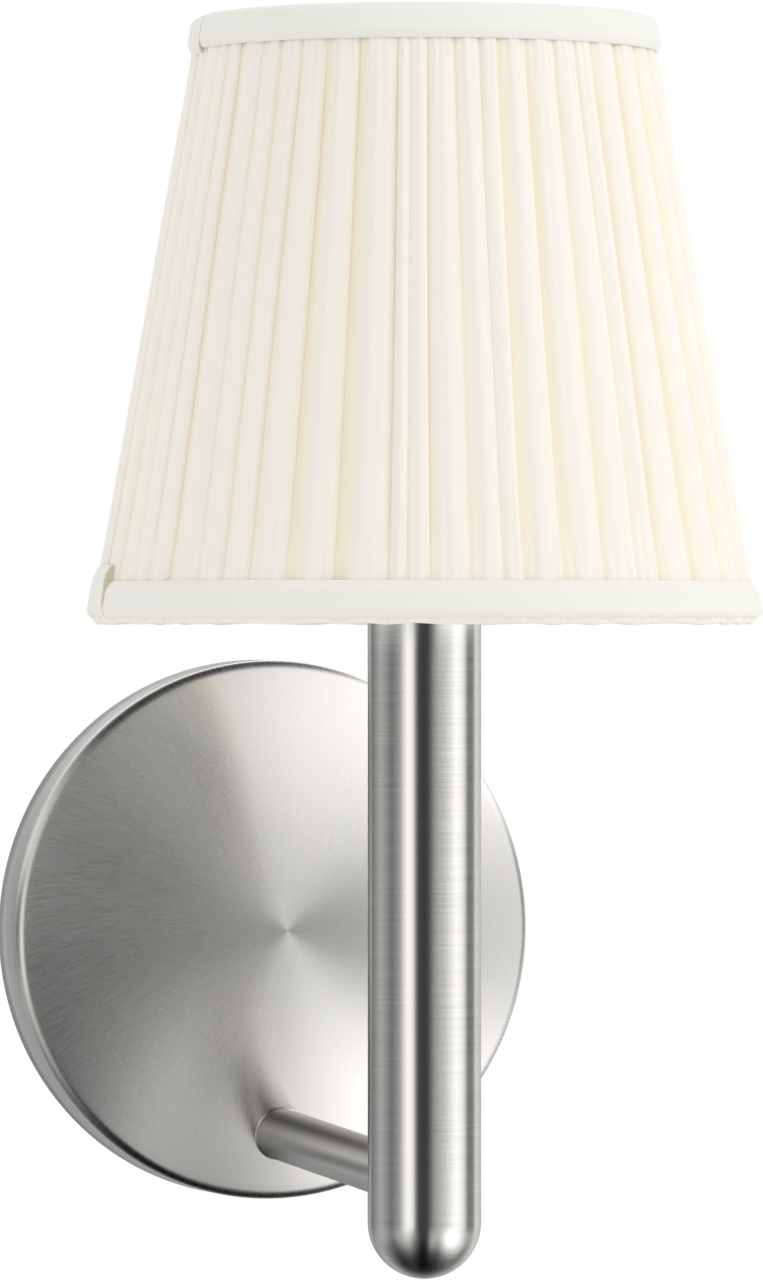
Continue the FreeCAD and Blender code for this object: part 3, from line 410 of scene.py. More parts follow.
def plate_smear(swirl):
    """The way the backplate's gloss is drawn out: along the radius, turned a little."""
    def tangent(tree):
        return swirled(tree, -swirl)[0]
    return tangent


def ringed_streaks(x, y, z):
    """Fine lines round a tube: noise packed along its axis and drawn out round it."""
    def streaks(tree):
        return vector(tree, "MULTIPLY", place_on_object(tree), (x, y, z))
    return streaks


def steady(direction):
    """The same smear direction all over a tube, along its axis."""
    def tangent(tree):
        return add(tree, "CombineXYZ", dict(enumerate(direction))).outputs[0]
    return tangent


def striped_wire(name, first, second):
    """Two colours along a wire, in long turns round it."""
    material, tree, shader = finish(name, roughness=0.4)
    place = place_on_object(tree)
    parts = add(tree, "SeparateXYZ", {0: place})
    side = calc(tree, "ADD", parts.outputs[0], calc(tree, "MULTIPLY", parts.outputs[1], 0.4))
    stripe = calc(tree, "SINE", calc(tree, "MULTIPLY", side, 2200.0))
    wire_up(tree, shader,
            base_color=coloured(tree, ranged(tree, stripe, -0.05, 0.05, 0.0, 1.0), first, second),
            normal=bumped(tree, noise(tree, place, 2500.0), 0.00002, 0.4))
    return material


# ---------------------------------------------------------------- backplate, arm and stem
ARM_HOLE = 5.3 * MM           # radius of the hole that the arm's nipple passes through
ARM_HOLE_START = 90 * MM      # where its drill starts, along the arm from the stem's axis
ARM_HOLE_RUN = 30 * MM        # how far that drill goes
SCREW_DEPTH = 7.5 * MM        # distance of the grub screws' axis from the wall
SCREW_HOLE = 2.3 * MM         # radius of their holes
SCREW_HOLE_START = 4 * MM     # where their drills start, inside the rim
SCREW_HOLE_RUN = 8 * MM
ARM_EASE = 0.22 * MM          # how much the arm's end at the stem is eased
ARM_BEAD = 0.2 * MM           # height of the bead at its other end


def plate_profile(metal):
    """Half section of the spun cup: domed face, rolled edge and straight side, one wall thick.

    The face is a sphere that passes through the crown and touches the rolled edge's circle, so
    its radius is (k^2 + c^2 - b^2) / (2 (c - b)), with k the circle's distance from the axis,
    c the crown's height over the rim and b the circle's radius.
    """
    radius = span("backplate_cover", 0) / 2
    depth = -PLATE_LOW.y
    rim, bend, wall = metal.plate_rim, metal.plate_bend, metal.plate_wall
    crown = depth - rim
    reach = radius - bend
    ball = (reach ** 2 + crown ** 2 - bend ** 2) / (2 * (crown - bend))
    centre = depth - ball
    tangent = math.degrees(math.atan2(rim - centre, reach))
    outer = [arc((0, centre), ball, 90, tangent, 40), arc((reach, rim), bend, tangent, 0, 14)[1:],
             np.array([(radius, rim * 0.5), (radius, 0.35 * MM), (radius - 0.2 * MM, 0.0)])]
    inner = [np.array([(radius - wall, 0.0), (radius - wall, rim * 0.5)]),
             arc((reach, rim), bend - wall, 0, tangent, 10),
             arc((0, centre), ball - wall, tangent, 90, 24)[1:]]
    profile = np.concatenate(outer + inner)
    profile[[0, -1], 0] = 0.0
    return profile, ball, centre


def drilled(piece, holes):
    """Cut round holes: each is a start, a direction, a radius and a length."""
    for start, direction, radius, length in holes:
        bpy.ops.mesh.primitive_cylinder_add(vertices=48, radius=radius, depth=length)
        drill = bpy.context.object
        drill.rotation_mode = "QUATERNION"
        drill.rotation_quaternion = Vector(direction).to_track_quat("Z", "Y")
        drill.location = Vector(start) + Vector(direction) * length / 2
        cut = piece.modifiers.new("Hole", "BOOLEAN")
        cut.operation, cut.object, cut.solver = "DIFFERENCE", drill, "EXACT"
        bpy.context.view_layer.objects.active = piece
        bpy.ops.object.modifier_apply(modifier=cut.name)
        bpy.data.objects.remove(drill)
    piece.data.shade_smooth()
    piece.data.set_sharp_from_angle(angle=math.radians(40))


class MakeBackplate(bpy.types.Operator):
    """Spin the round backplate"""
    bl_idname = "wall_light.make_backplate"
    bl_label = "Backplate"

    def execute(self, context):
        metal = context.scene.light_metal
        points = turned(plate_profile(metal)[0], 288, about_plate)
        quads = grid_quads(*points.shape[:2], False, True)[0]
        piece = mesh_piece("backplate", points, quads)
        arm = Vector((0, math.cos(metal.arm_slope), math.sin(metal.arm_slope)))
        foot = Vector((0, STEM_Y, PLATE_LOW.z + metal.arm_inset))
        rim = PLATE_HIGH.z
        holes = [(foot + arm * ARM_HOLE_START, arm, ARM_HOLE, ARM_HOLE_RUN)]
        for side in (1, -1):
            holes.append(((0, -SCREW_DEPTH, side * (rim - SCREW_HOLE_START)), (0, 0, side),
                          SCREW_HOLE, SCREW_HOLE_RUN))
        drilled(piece, holes)
        steel = brushed("spun_steel", tuple(metal.steel), plate_streaks(metal.swirl),
                        plate_smear(metal.swirl), 0.28, 0.9, 0.000006)
        settle(piece, "fixture", "brushed_metal", steel, "backplate_cover")
        return {"FINISHED"}


def arm_points(metal, segments):
    """The arm's tube, its ends fitted to the stem's cylinder and to the backplate's sphere.

    A point is foot + axis t + side, with side round the tube. Near the stem t solves
    x^2 + y^2 = stem radius^2, and near the wall |point - centre| = sphere radius.
    """
    _, ball, centre = plate_profile(metal)
    stem = span("stem_tube", 0) / 2
    slope = metal.arm_slope
    axis = np.array([0, math.cos(slope), math.sin(slope)])
    over = np.array([0, -math.sin(slope), math.cos(slope)])
    foot = np.array([0, STEM_Y, PLATE_LOW.z + metal.arm_inset])
    outer, inner = span("arm_tube", 0) / 2, metal.arm_bore
    share = np.concatenate([[0, 0.004], np.linspace(0.02, 0.98, 24), [0.9945, 0.997, 1.0]])
    radius = np.full(share.shape, outer)
    radius[0] -= ARM_EASE
    radius[-2] += ARM_BEAD
    share = np.concatenate([share, share[::-1]])[:, None]
    radius = np.concatenate([radius, np.full(radius.shape, inner)])[:, None]
    turn = np.linspace(0, FULL_TURN, segments, endpoint=False)[None, :]
    across, up = radius * np.cos(turn), radius * np.sin(turn)
    near = (np.sqrt(stem ** 2 - across ** 2) + up * math.sin(slope)) / math.cos(slope)
    side = across[..., None] * np.array([1.0, 0, 0]) + up[..., None] * over
    start = foot + side - np.array([0, -centre, 0])
    lean = start @ axis
    far = -lean - np.sqrt(lean ** 2 - (start ** 2).sum(-1) + ball ** 2)
    along = near * (1 - share) + far * share
    return foot + side + along[..., None] * axis, axis


class MakeArm(bpy.types.Operator):
    """Fit the sloping tube between the backplate and the stem"""
    bl_idname = "wall_light.make_arm"
    bl_label = "Arm"

    def execute(self, context):
        metal = context.scene.light_metal
        points, axis = arm_points(metal, 112)
        quads = grid_quads(*points.shape[:2], True, True)[0]
        piece = mesh_piece("arm", points, quads)
        steel = brushed("arm_steel", tuple(metal.steel), ringed_streaks(70.0, 3600.0, 70.0),
                        steady(axis), 0.3, 0.9, 0.000003)
        settle(piece, "fixture", "brushed_metal", steel, "arm_tube")
        return {"FINISHED"}


def stem_profile(metal):
    """Tube with a closed half ball at its foot and an eased upper lip, one wall thick."""
    radius = span("stem_tube", 0) / 2
    wall = metal.plate_wall
    middle, top = STEM_LOW.z + radius, STEM_HIGH.z
    straight = np.linspace(middle, top - 0.3 * MM, 8)[1:]
    profile = np.concatenate([
        arc((0, middle), radius, -90, 0, 28),
        np.stack([np.full(7, radius), straight], 1),
        np.array([(radius - 0.25 * MM, top), (radius - wall, top), (radius - wall, middle + 0.02)]),
        arc((0, middle), radius - wall, 0, -90, 16)])
    profile[[0, -1], 0] = 0.0
    return profile


class MakeStem(bpy.types.Operator):
    """Draw the tube that carries the shade"""
    bl_idname = "wall_light.make_stem"
    bl_label = "Stem"

    def execute(self, context):
        metal = context.scene.light_metal
        points = turned(stem_profile(metal), 160, about_stem)
        quads = grid_quads(*points.shape[:2], False, True)[0]
        piece = mesh_piece("stem", points, quads)
        steel = brushed("stem_steel", tuple(metal.steel), ringed_streaks(40.0, 40.0, 3600.0),
                        steady((0.0, 0.0, 1.0)), 0.25, 0.9, 0.000003)
        settle(piece, "fixture", "brushed_metal", steel, "stem_tube")
        paint(steel, "stem_cap")
        return {"FINISHED"}


# ---------------------------------------------------------------- gathered shade
FRONT_FOLDS = (7.9, 4.8, 5.6, 8.1, 5.6, 6.0, 7.0, 8.5, 9.8, 2.9,
               4.1, 6.8, 6.0, 3.6, 7.5, 8.2, 6.6, 4.7, 10.0, 10.5)   # degrees, left to right
FRONT_START = -178.5          # angle of the leftmost of them
BACK_COUNT = 30
CONE = math.radians(10.1)     # lean of the shade's side
WAVE_RUN = 130 * MM           # height over which the slow waves turn by their phases
MEAN_FOLD = math.radians(7.5)  # width of a fold of the stated depth
RIPPLE_WIDTH = math.radians(3.2)
FLANK_POWER = 0.85            # under 1 makes a fold's crest rounder and its valley narrower
PRESS_UNDER = 4 * MM          # folds begin to open this far under a binding's edge,
PRESS_BEYOND = 16 * MM        # and are fully open this far beyond it
GATHERS = (12 * MM, 16 * MM)  # heights over which the small gathers fade, foot and head
HEAD_SINK = 1.3 * MM          # the cover's upper edge, below the shade's
HEM_RISE = 1.1 * MM           # where the cover begins to turn under, above the shade's foot
HEM_LOOP = 1.7 * MM           # radius of that turn
HEM_SAG = 0.45 * MM           # how far its slack hangs
OUTER_LEG_END = 1.9 * MM      # from a tape's folded edge
INNER_LEG = (2.2 * MM, 5 * MM)
TAPE_TURN = 1.7 * MM          # height of the turn between its legs
TAPE_LOOP = 2.3 * MM          # half the distance between them
TAPE_GAP = 0.1 * MM           # between the folds' crests and a tape
TAPE_BULGE = 0.35 * MM
UPPER_LAP, LOWER_LAP = 0.16, 0.42   # how much taller the tapes are where they overlap
LAP_FADE = (math.radians(9), math.radians(16))
SEAM = math.pi                # angle at which the tapes' ends meet, on the light's left side
SEAM_WIDTH = 0.009            # radians
SEAM_GROOVE = 0.6 * MM
SEAM_SHADOW = (0.62, 0.56, 0.42)
BIAS = 0.7071                 # cosine of 45 degrees, which turns the tapes' weave
EDGE_TUCK = 0.65 * MM         # how far a tape's free edge is drawn in onto the folds


def fold_starts():
    """Angle of each valley, in radians: the folds that face the camera, then an uneven run."""
    number = np.arange(BACK_COUNT)
    back = 1 + 0.30 * np.sin(2.4 * number) + 0.15 * np.sin(5.1 * number + 1)
    back *= (360 - sum(FRONT_FOLDS)) / back.sum()
    widths = np.concatenate([FRONT_FOLDS, back])
    return np.radians(FRONT_START + np.concatenate([[0], np.cumsum(widths)]))


def crest_radius(height):
    """The folds' outer radius, a straight line from the lower edge to the upper one."""
    low = span("pleated_cover", 0) / 2
    return low - math.tan(CONE) * (height - COVER_LOW.z)


def wander(angle, height, seed, size):
    """Slow uneven drift: three waves round the shade whose phases turn with the height."""
    rise = height / WAVE_RUN
    drift = np.sin(7 * angle + 3.15 * rise + seed)
    drift = drift + 0.7 * np.sin(13 * angle - 3.0 * rise + 2.1 * seed)
    drift = drift + 0.5 * np.sin(23 * angle + 3.2 * rise + 3.7 * seed)
    return size * drift / 2.2


def fold_grid(shade):
    """Angle, place within its fold from 0 to 1, and width of its fold, for each column."""
    starts = fold_starts()
    inside = (1 - np.cos(np.pi * np.linspace(0, 1, shade.samples, endpoint=False))) / 2
    inside = 0.5 * inside + 0.5 * np.linspace(0, 1, shade.samples, endpoint=False)
    width = np.diff(starts)
    angle = (starts[:-1, None] + width[:, None] * inside[None, :]).ravel()
    return angle, np.tile(inside, len(width)), np.repeat(width, shade.samples)


def fold_depth(angle, inside, width, height, shade):
    """How far the cloth lies inside the crest radius.

    Across a fold the depth is that of the valley times 1 - sin(pi u)^0.85, with u pushed to one
    side so that the flank before the next valley is the steeper one. It shrinks to the bound
    depth at the bindings, where small gathers, two waves of uneven pace, are added and fade out.
    """
    low = SHADE_FOOT + shade.lower_tape
    high = SHADE_HEAD - shade.upper_tape
    open_share = smooth(low - PRESS_UNDER, low + PRESS_BEYOND, height) * (
        1 - smooth(high - PRESS_BEYOND, high + PRESS_UNDER, height))
    near_low = np.exp(-np.maximum(height - low, 0) / GATHERS[0])
    near_high = np.exp(-np.maximum(high - height, 0) / GATHERS[1])
    lean = 0.3 * np.sin(176.7 * width + 2.0 * height / WAVE_RUN + 5 * np.sin(angle * 3)) - 0.4
    place = inside + lean * inside * (1 - inside)
    valley = 1 - np.abs(np.sin(np.pi * place)) ** FLANK_POWER
    share = np.clip(width / MEAN_FOLD, 0.55, 1.35)
    full = shade.bound_depth + (shade.fold_depth - shade.bound_depth) * open_share
    depth = full * share * valley
    ripples = np.round(width / RIPPLE_WIDTH)
    ripple = 0.5 + 0.5 * np.sin(inside * FULL_TURN * ripples + angle * 5)
    depth = depth + 0.12 * shade.fold_depth * ripple * open_share * share
    fine = np.sin(angle * 131 + 1.3 * np.sin(angle * 17)) * np.sin(angle * 53 + 2.0)
    small = shade.gather_depth * (0.5 + 0.5 * fine)
    depth = depth + small * np.maximum(near_low, near_high)
    return depth + wander(angle, height, 1.7, 0.12 * MM) + 0.12 * MM


def cover_path(shade, rows):
    """Height and inward step of the cover's middle line, from its head to its hem.

    It runs down the cone, turns round the lower ring in half a circle and ends inside it.
    """
    head = SHADE_HEAD - HEAD_SINK
    hem = SHADE_FOOT + HEM_RISE
    share = np.linspace(0, 1, rows)
    share = share - 0.06 * np.sin(FULL_TURN * share)
    height = head + (hem - head) * share
    turn = np.radians(np.linspace(15, 180, 9))
    under = [hem + 1.5 * MM, hem + 3 * MM]
    height = np.concatenate([height, hem - HEM_LOOP * np.sin(turn), under])
    inward = np.concatenate([np.zeros(rows), HEM_LOOP * (1 - np.cos(turn)), [2 * HEM_LOOP] * 2])
    return height, inward


def cover_points(shade):
    """The gathered cloth as a closed double sheet: outer face down, inner face back up."""
    angle, inside, width = fold_grid(shade)
    height, inward = cover_path(shade, 38)
    height, inward = height[:, None], inward[:, None]
    depth = fold_depth(angle[None, :], inside[None, :], width[None, :], height, shade)
    flat = np.clip(inward / HEM_LOOP, 0, 1)
    depth = depth * (1 - 0.8 * flat)
    middle = crest_radius(height) - depth - inward
    hang = HEM_SAG * flat * (0.6 + 0.4 * np.sin(angle * 31 + 2 * np.sin(angle * 9)))[None, :]
    level = height - hang * np.sin(np.pi * np.clip(inward / (2 * HEM_LOOP), 0, 1))
    radial, rise = face_normal(middle[:, 0], height[:, 0])
    half = shade.fabric_wall / 2
    thick, lift = half * radial[:, None], half * rise[:, None]
    radius = np.concatenate([middle + thick, (middle - thick)[::-1]])
    level = np.concatenate([level + lift, (level - lift)[::-1]])
    drift = wander(angle[None, :], level, 0.4, np.radians(0.5))
    turn = angle[None, :] + drift
    points = about_stem(radius * np.cos(turn), radius * np.sin(turn), level)
    # Painted shade in the folds' hollows: stronger the deeper the cloth lies, weaker on the part of
    # each fold before the next valley, and none on the turned-under hem
    painted_shade = smooth(0.3, 1.1, depth / shade.fold_depth) * (1 - 0.55 * smooth(0.55, 0.8, inside))
    painted_shade = painted_shade * (1 - flat)
    return points, len(height), np.concatenate([painted_shade, painted_shade[::-1]])


def face_normal(radius, height):
    """Unit vector to the left of a path of (radius, height) points that runs downwards."""
    step_r, step_h = np.gradient(radius), np.gradient(height)
    length = np.hypot(step_r, step_h)
    return -step_h / length, step_r / length


def cloth_lengths(points, rows):
    """Running lengths of the cloth along its folds and down them, for the weave."""
    outer = points[:rows]
    across = np.linalg.norm(np.diff(outer, axis=1, append=outer[:, :1]), axis=-1).mean(0)
    down = np.linalg.norm(np.diff(outer, axis=0), axis=-1).mean(1)
    across = np.concatenate([[0], np.cumsum(across)])
    down = np.concatenate([[0], np.cumsum(down)])
    return across, down


class MakeCover(bpy.types.Operator):
    """Gather the cotton cover round the shade's frame"""
    bl_idname = "wall_light.make_cover"
    bl_label = "Gathered cover"

    def execute(self, context):
        shade = context.scene.light_shade
        points, rows, painted_shade = cover_points(shade)
        quads, row, column = grid_quads(*points.shape[:2], True, True)
        across, down = cloth_lengths(points, rows)
        down = np.concatenate([down, down[::-1], down[:1]])
        corners = np.stack([across[column], down[row]], -1)
        piece = mesh_piece("gathered_cover", points, quads, corners, painted_shade)
        piece.data.set_sharp_from_angle(angle=math.radians(75))
        cotton = woven("cotton", tuple(shade.cotton), tinted(tuple(shade.cotton), 0.95),
                       0.42 * MM, 0.4, 0.00004, 0.2, tuple(shade.painted_shade))
        settle(piece, "shade", "shade_fabric", cotton, "pleated_cover")
        tapes = [make_tape(context, "upper_tape", True), make_tape(context, "lower_tape", False)]
        for cloth in (piece, *tapes):
            cloth.visible_glossy = False
        return {"FINISHED"}


def tape_path(shade, upper):
    """Middle line of a binding, as (height, inward step): outer leg, fold and inner leg."""
    wall = shade.tape_wall
    if upper:
        edge, leg, sign = SHADE_HEAD - wall / 2, shade.upper_tape, -1
    else:
        edge, leg, sign = SHADE_FOOT + wall / 2, shade.lower_tape, 1
    outer = np.linspace(leg - wall / 2, OUTER_LEG_END, 16)
    turn = np.radians(np.linspace(0, 180, 17))[1:-1]
    inner = np.linspace(*INNER_LEG, 6)
    rise = np.concatenate([outer, TAPE_TURN * (1 - np.sin(turn)), inner])
    inward = np.concatenate([np.zeros(16), TAPE_LOOP * (1 - np.cos(turn)), [2 * TAPE_LOOP] * 6])
    return edge + sign * rise, inward, rise


def seam_bump(turn):
    """Where the tape's folded end laps over its start, on the light's left side.

    1 behind the seam's sharp front edge for 9 degrees, then fading out by 16 degrees.
    """
    behind = (SEAM - turn) % FULL_TURN
    return (behind < LAP_FADE[1]) * (1 - smooth(*LAP_FADE, behind))


def tape_points(shade, upper):
    """The folded tape: its middle line thickened by h = wall/2 (1 - |2s - 1|^8)^(1/2).

    Its free edge is drawn in onto the folds, and a groove shaped as exp(-x^2) marks its seam, with
    a painted shadow of the same shape.
    """
    segments = np.linspace(0, FULL_TURN, 540, endpoint=False)
    lap = SEAM + np.linspace(-0.03, 0.03, 61)
    turn = np.sort(np.concatenate([segments, lap]))[None, :]
    height, inward, rise = tape_path(shade, upper)
    radial, level = face_normal(-inward, height)
    if not upper:
        radial, level = -radial, -level
    share = np.linspace(0, 1, len(height))
    half = shade.tape_wall / 2 * np.sqrt(np.maximum(1 - np.abs(2 * share - 1) ** 8, 0))
    bump = seam_bump(turn)
    at_seam = np.exp(-((turn - SEAM) / SEAM_WIDTH) ** 2)
    puff = wander(turn, height[:, None], 2.9, 0.1 * MM) + TAPE_BULGE * np.sin(
        np.pi * np.clip(rise / rise[0], 0, 1))[:, None]
    tuck = EDGE_TUCK * smooth(0.7, 1.0, rise / rise[0])
    base = (crest_radius(height) + TAPE_GAP + shade.tape_wall / 2 - inward - tuck)[:, None]
    grow = (1 + (UPPER_LAP if upper else LOWER_LAP) * bump) * np.ones_like(base)
    edge = SHADE_HEAD if upper else SHADE_FOOT
    level_base = edge + (height[:, None] - edge) * grow
    thick, lift = (half * radial)[:, None], (half * level)[:, None]
    outer = base + puff + thick * (1 + 0.9 * bump) - SEAM_GROOVE * at_seam
    inner = base - thick + 0 * turn
    radius = np.concatenate([outer, inner[::-1][1:-1]])
    heights = np.concatenate([level_base + lift, (level_base - lift)[::-1][1:-1]])
    # Painted shadow along the seam, shaped as the groove
    painted_shade = at_seam + 0 * radius
    points = about_stem(radius * np.cos(turn), radius * np.sin(turn), heights + 0 * turn)
    return points, painted_shade, turn[0]


def make_tape(context, name, upper):
    """One binding, its weave laid on the bias."""
    shade = context.scene.light_shade
    points, painted_shade, turn = tape_points(shade, upper)
    quads, row, column = grid_quads(*points.shape[:2], True, True)
    mean_radius = 60 * MM
    around = np.concatenate([turn, [turn[0] + FULL_TURN]]) * mean_radius
    steps = np.linalg.norm(np.diff(points[:, 0], axis=0, append=points[:1, 0]), axis=-1)
    down = np.concatenate([[0], np.cumsum(steps)])
    u, v = around[column], down[row]
    corners = np.stack([u + v, u - v], -1) * BIAS
    piece = mesh_piece(name, points, quads, corners, painted_shade)
    tape = bpy.data.materials.get("bias_tape")
    if tape is None:
        tape = woven("bias_tape", tuple(shade.tape), tinted(tuple(shade.tape), 0.93),
                     0.32 * MM, 0.3, 0.00003, 0.1, SEAM_SHADOW)
    return settle(piece, "shade", "trim_tape", tape, "top_trim" if upper else "bottom_trim")


# ---------------------------------------------------------------- parts kept from the frame
def paint(material, *parts, mirrored=True):
    """Give CAD nodes their finish, and say if the brushed steel mirrors them."""
    for part in parts:
        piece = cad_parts[part]
        piece.data.materials.clear()
        piece.data.materials.append(material)
        piece.visible_glossy = mirrored


class FinishShadeFrame(bpy.types.Operator):
    """Finish the lining and the wire frame inside the shade"""
    bl_idname = "wall_light.finish_shade_frame"
    bl_label = "Lining and wire frame"

    def execute(self, context):
        lining = moulded("lining_film", (0.93, 0.92, 0.89), 0.45, grain=600.0, bump=0.00001)
        coated = moulded("coated_wire", (0.9, 0.9, 0.88), 0.3, grain=700.0, bump=0.00003)
        paint(lining, "shade_lining", mirrored=False)
        paint(coated, "shade_bottom_ring", "shade_top_ring", "shade_fitter_ring",
              "shade_fitter_arms", mirrored=False)
        return {"FINISHED"}


class FinishLampholder(bpy.types.Operator):
    """Finish the lampholder and the ring that clamps the shade"""
    bl_idname = "wall_light.finish_lampholder"
    bl_label = "Lampholder"

    def execute(self, context):
        white = moulded("holder_plastic", (0.9, 0.89, 0.86), 0.38)
        brass = plain_metal("brass", (0.8, 0.62, 0.3), 0.28)
        paint(white, "lampholder_base", "lampholder_sleeve", "lampholder_core",
              "shade_retaining_ring", mirrored=False)
        paint(brass, "lampholder_screw_shell", "lampholder_centre_contact", "stem_bush",
              "terminal_barrels", "earth_washer", "earth_tag", "earth_screw")
        return {"FINISHED"}


class FinishBulb(bpy.types.Operator):
    """Finish the bulb"""
    bl_idname = "wall_light.finish_bulb"
    bl_label = "Bulb"

    def execute(self, context):
        opal = moulded("bulb_opal", (0.95, 0.95, 0.93), 0.35, grain=900.0, bump=0.000005,
                       coat_weight=0.4, coat_roughness=0.15)
        paint(opal, "bulb_globe", mirrored=False)
        paint(moulded("bulb_plastic", (0.9, 0.9, 0.89), 0.4), "bulb_housing", mirrored=False)
        paint(plain_metal("bulb_cap", (0.78, 0.78, 0.77), 0.25), "bulb_cap", "bulb_contact")
        paint(moulded("bulb_insulator", (0.03, 0.03, 0.035), 0.25), "bulb_insulator")
        return {"FINISHED"}


class FinishBracket(bpy.types.Operator):
    """Finish what is hidden behind the backplate"""
    bl_idname = "wall_light.finish_bracket"
    bl_label = "Bracket and terminals"

    def execute(self, context):
        zinc = plain_metal("zinc_plate", (0.6, 0.61, 0.62), 0.38, 500.0)
        screw = plain_metal("steel_screw", (0.5, 0.5, 0.5), 0.32)
        paint(zinc, "wall_bracket", "arm_wall_nipple", "arm_saddle_washer", "arm_back_nut",
              "arm_stem_nipple", "holder_nipple", "nipple_nut")
        paint(screw, "cover_screws", "terminal_screws")
        paint(moulded("block_plastic", (0.88, 0.88, 0.85), 0.5), "terminal_block")
        paint(moulded("grommet_rubber", (0.03, 0.03, 0.03), 0.6), "cable_grommet")
        paint(moulded("wire_brown", (0.17, 0.07, 0.03), 0.4), "live_wire")
        paint(moulded("wire_blue", (0.04, 0.16, 0.45), 0.4), "neutral_wire")
        paint(striped_wire("wire_earth", (0.05, 0.3, 0.05), (0.75, 0.65, 0.03)), "earth_wire")
        return {"FINISHED"}


# ---------------------------------------------------------------- stage
CAMERA_SHIFT = (-0.0335, -0.00625)
FLOOR_RADIUS = 2.4            # metres
FLOOR_FADE = (0.5, 1.9)       # distances at which the floor begins to fade and is gone
KEY_PLACE = (1.5, -1.5, 1.1)
KEY_SIZE = 1.2
KEY_WATTS = 60                # power of the key light at strength 1
RAMP_TOP = 5.0                # brightness that a ramp's white stands for
RINGS = (  # rings of light panels round the light, which only gloss shows
    # sines of the heights at which a ring starts, is full, begins to fade and ends, then its
    # panels: degrees from the camera's side and brightness
    ((-0.3, -0.12, 0.12, 0.3), (
        (-180, 0.4), (-165, 0.3), (-150, 0.65), (-134, 0.2), (-100, 0.5), (-78, 0.18), (-70, 0.02),
        (-57, 0.22), (-51, 0.35), (-42, 1.25), (-34, 2.1), (-23, 1.9), (-20, 0.85), (-17, 0.3),
        (-13, 0.0), (-5, 0.06), (12, 0.05), (20, 0.3), (30, 0.42), (38, 0.35), (46, 0.38),
        (56, 0.78), (68, 1.45), (80, 1.35), (88, 1.1), (98, 0.02), (105, 0.0), (118, 0.15),
        (128, 1.0), (180, 0.4))),
    ((0.12, 0.3, 0.3, 0.55), (
        (-180, 0.9), (-140, 0.5), (-100, 1.4), (-75, 1.15), (-55, 1.0), (-38, 1.35), (-22, 0.85),
        (-8, 0.13), (6, 0.05), (18, 0.45), (30, 1.6), (42, 2.1), (54, 1.8), (68, 2.1), (90, 1.7),
        (118, 1.65), (148, 1.8), (180, 0.9))),
    ((-0.55, -0.3, -0.3, -0.12), (
        (-180, 0.4), (-140, 0.45), (-100, 0.8), (-75, 0.55), (-55, 0.9), (-38, 1.15), (-22, 0.4),
        (-8, 0.11), (6, 0.08), (18, 0.7), (30, 0.9), (42, 1.8), (54, 2.6), (68, 2.2),
        (90, 1.0), (118, 0.78), (148, 0.95), (180, 0.4))),
    ((0.3, 0.55, 0.55, 0.85), (
        (-180, 2.0), (-140, 1.8), (-100, 1.3), (-75, 1.1), (-55, 0.9), (-38, 0.9), (-22, 0.4),
        (-8, 0.1), (6, 0.1), (18, 0.3), (30, 1.3), (42, 2.0), (54, 2.4), (68, 2.9),
        (90, 3.2), (118, 3.0), (148, 2.6), (180, 2.0))),
    ((-0.85, -0.55, -0.55, -0.3), (
        (-180, 0.65), (-140, 0.6), (-100, 0.3), (-75, 0.1), (-55, 0.65), (-38, 1.0), (-22, 0.3),
        (-8, 0.02), (6, 0.05), (18, 1.1), (30, 0.8), (42, 1.2), (54, 2.5), (68, 2.7), (90, 1.75),
        (118, 0.2), (148, 0.55), (180, 0.65))))


def ramp(tree, value, stops):
    """Brightness at a value, from up to 32 (degrees, brightness) stops."""
    made = add(tree, "ValToRGB", {0: value})
    band = made.color_ramp
    while len(band.elements) < len(stops):
        band.elements.new(0.5)
    for element, (degrees, level) in zip(band.elements, stops):
        element.position = degrees / 360 + 0.5
        element.color = (*[level / RAMP_TOP] * 3, 1)
    return calc(tree, "MULTIPLY", made.outputs[0], RAMP_TOP)


def light_room(stage):
    """White for the camera, rings of panels for gloss, and an even light for the rest."""
    world = bpy.data.worlds.new("studio")
    bpy.context.scene.world = world
    world.use_nodes = True
    world.cycles.sampling_method = "NONE"
    tree = world.node_tree
    tree.nodes.clear()
    direction = add(tree, "SeparateXYZ", {0: add(tree, "TexCoord").outputs["Generated"]})
    turn = calc(tree, "ARCTAN2", direction.outputs[1], direction.outputs[0])
    turn = calc(tree, "MULTIPLY_ADD", turn, 1 / FULL_TURN, 0.75 + stage.camera_turn / FULL_TURN)
    turn = calc(tree, "FRACT", turn)
    level = None
    for (start, full, fading, end), panels in RINGS:
        rise = ranged(tree, direction.outputs[2], start, full, 0.0, 1.0)
        fall = ranged(tree, direction.outputs[2], fading, end, 1.0, 0.0)
        ring = calc(tree, "MULTIPLY", calc(tree, "MULTIPLY", rise, fall), ramp(tree, turn, panels))
        level = ring if level is None else calc(tree, "ADD", level, ring)
    path = add(tree, "LightPath")
    gloss, even, white = (add(tree, "Background", {0: (1, 1, 1, 1), 1: strength}).outputs[0]
                          for strength in (level, stage.fill, 1.0))
    shiny = calc(tree, "MAXIMUM", path.outputs["Is Glossy Ray"],
                 path.outputs["Is Transmission Ray"])
    lit = add(tree, "MixShader", {0: shiny, 1: even, 2: gloss}).outputs[0]
    seen = add(tree, "MixShader", {0: path.outputs["Is Camera Ray"], 1: lit, 2: white})
    add(tree, "OutputWorld", {0: seen.outputs[0]})


def soft_light(name, place, target, size, power):
    """A round lamp aimed at a target, which gloss doesn't show."""
    lamp = bpy.data.lights.new(name, "AREA")
    lamp.shape, lamp.size, lamp.energy = "DISK", size, power
    holder = bpy.data.objects.new(name, lamp)
    holder.location = place
    holder.rotation_euler = (Vector(target) - Vector(place)).to_track_quat("-Z", "Y").to_euler()
    holder.visible_glossy = False
    bpy.context.scene.collection.objects.link(holder)


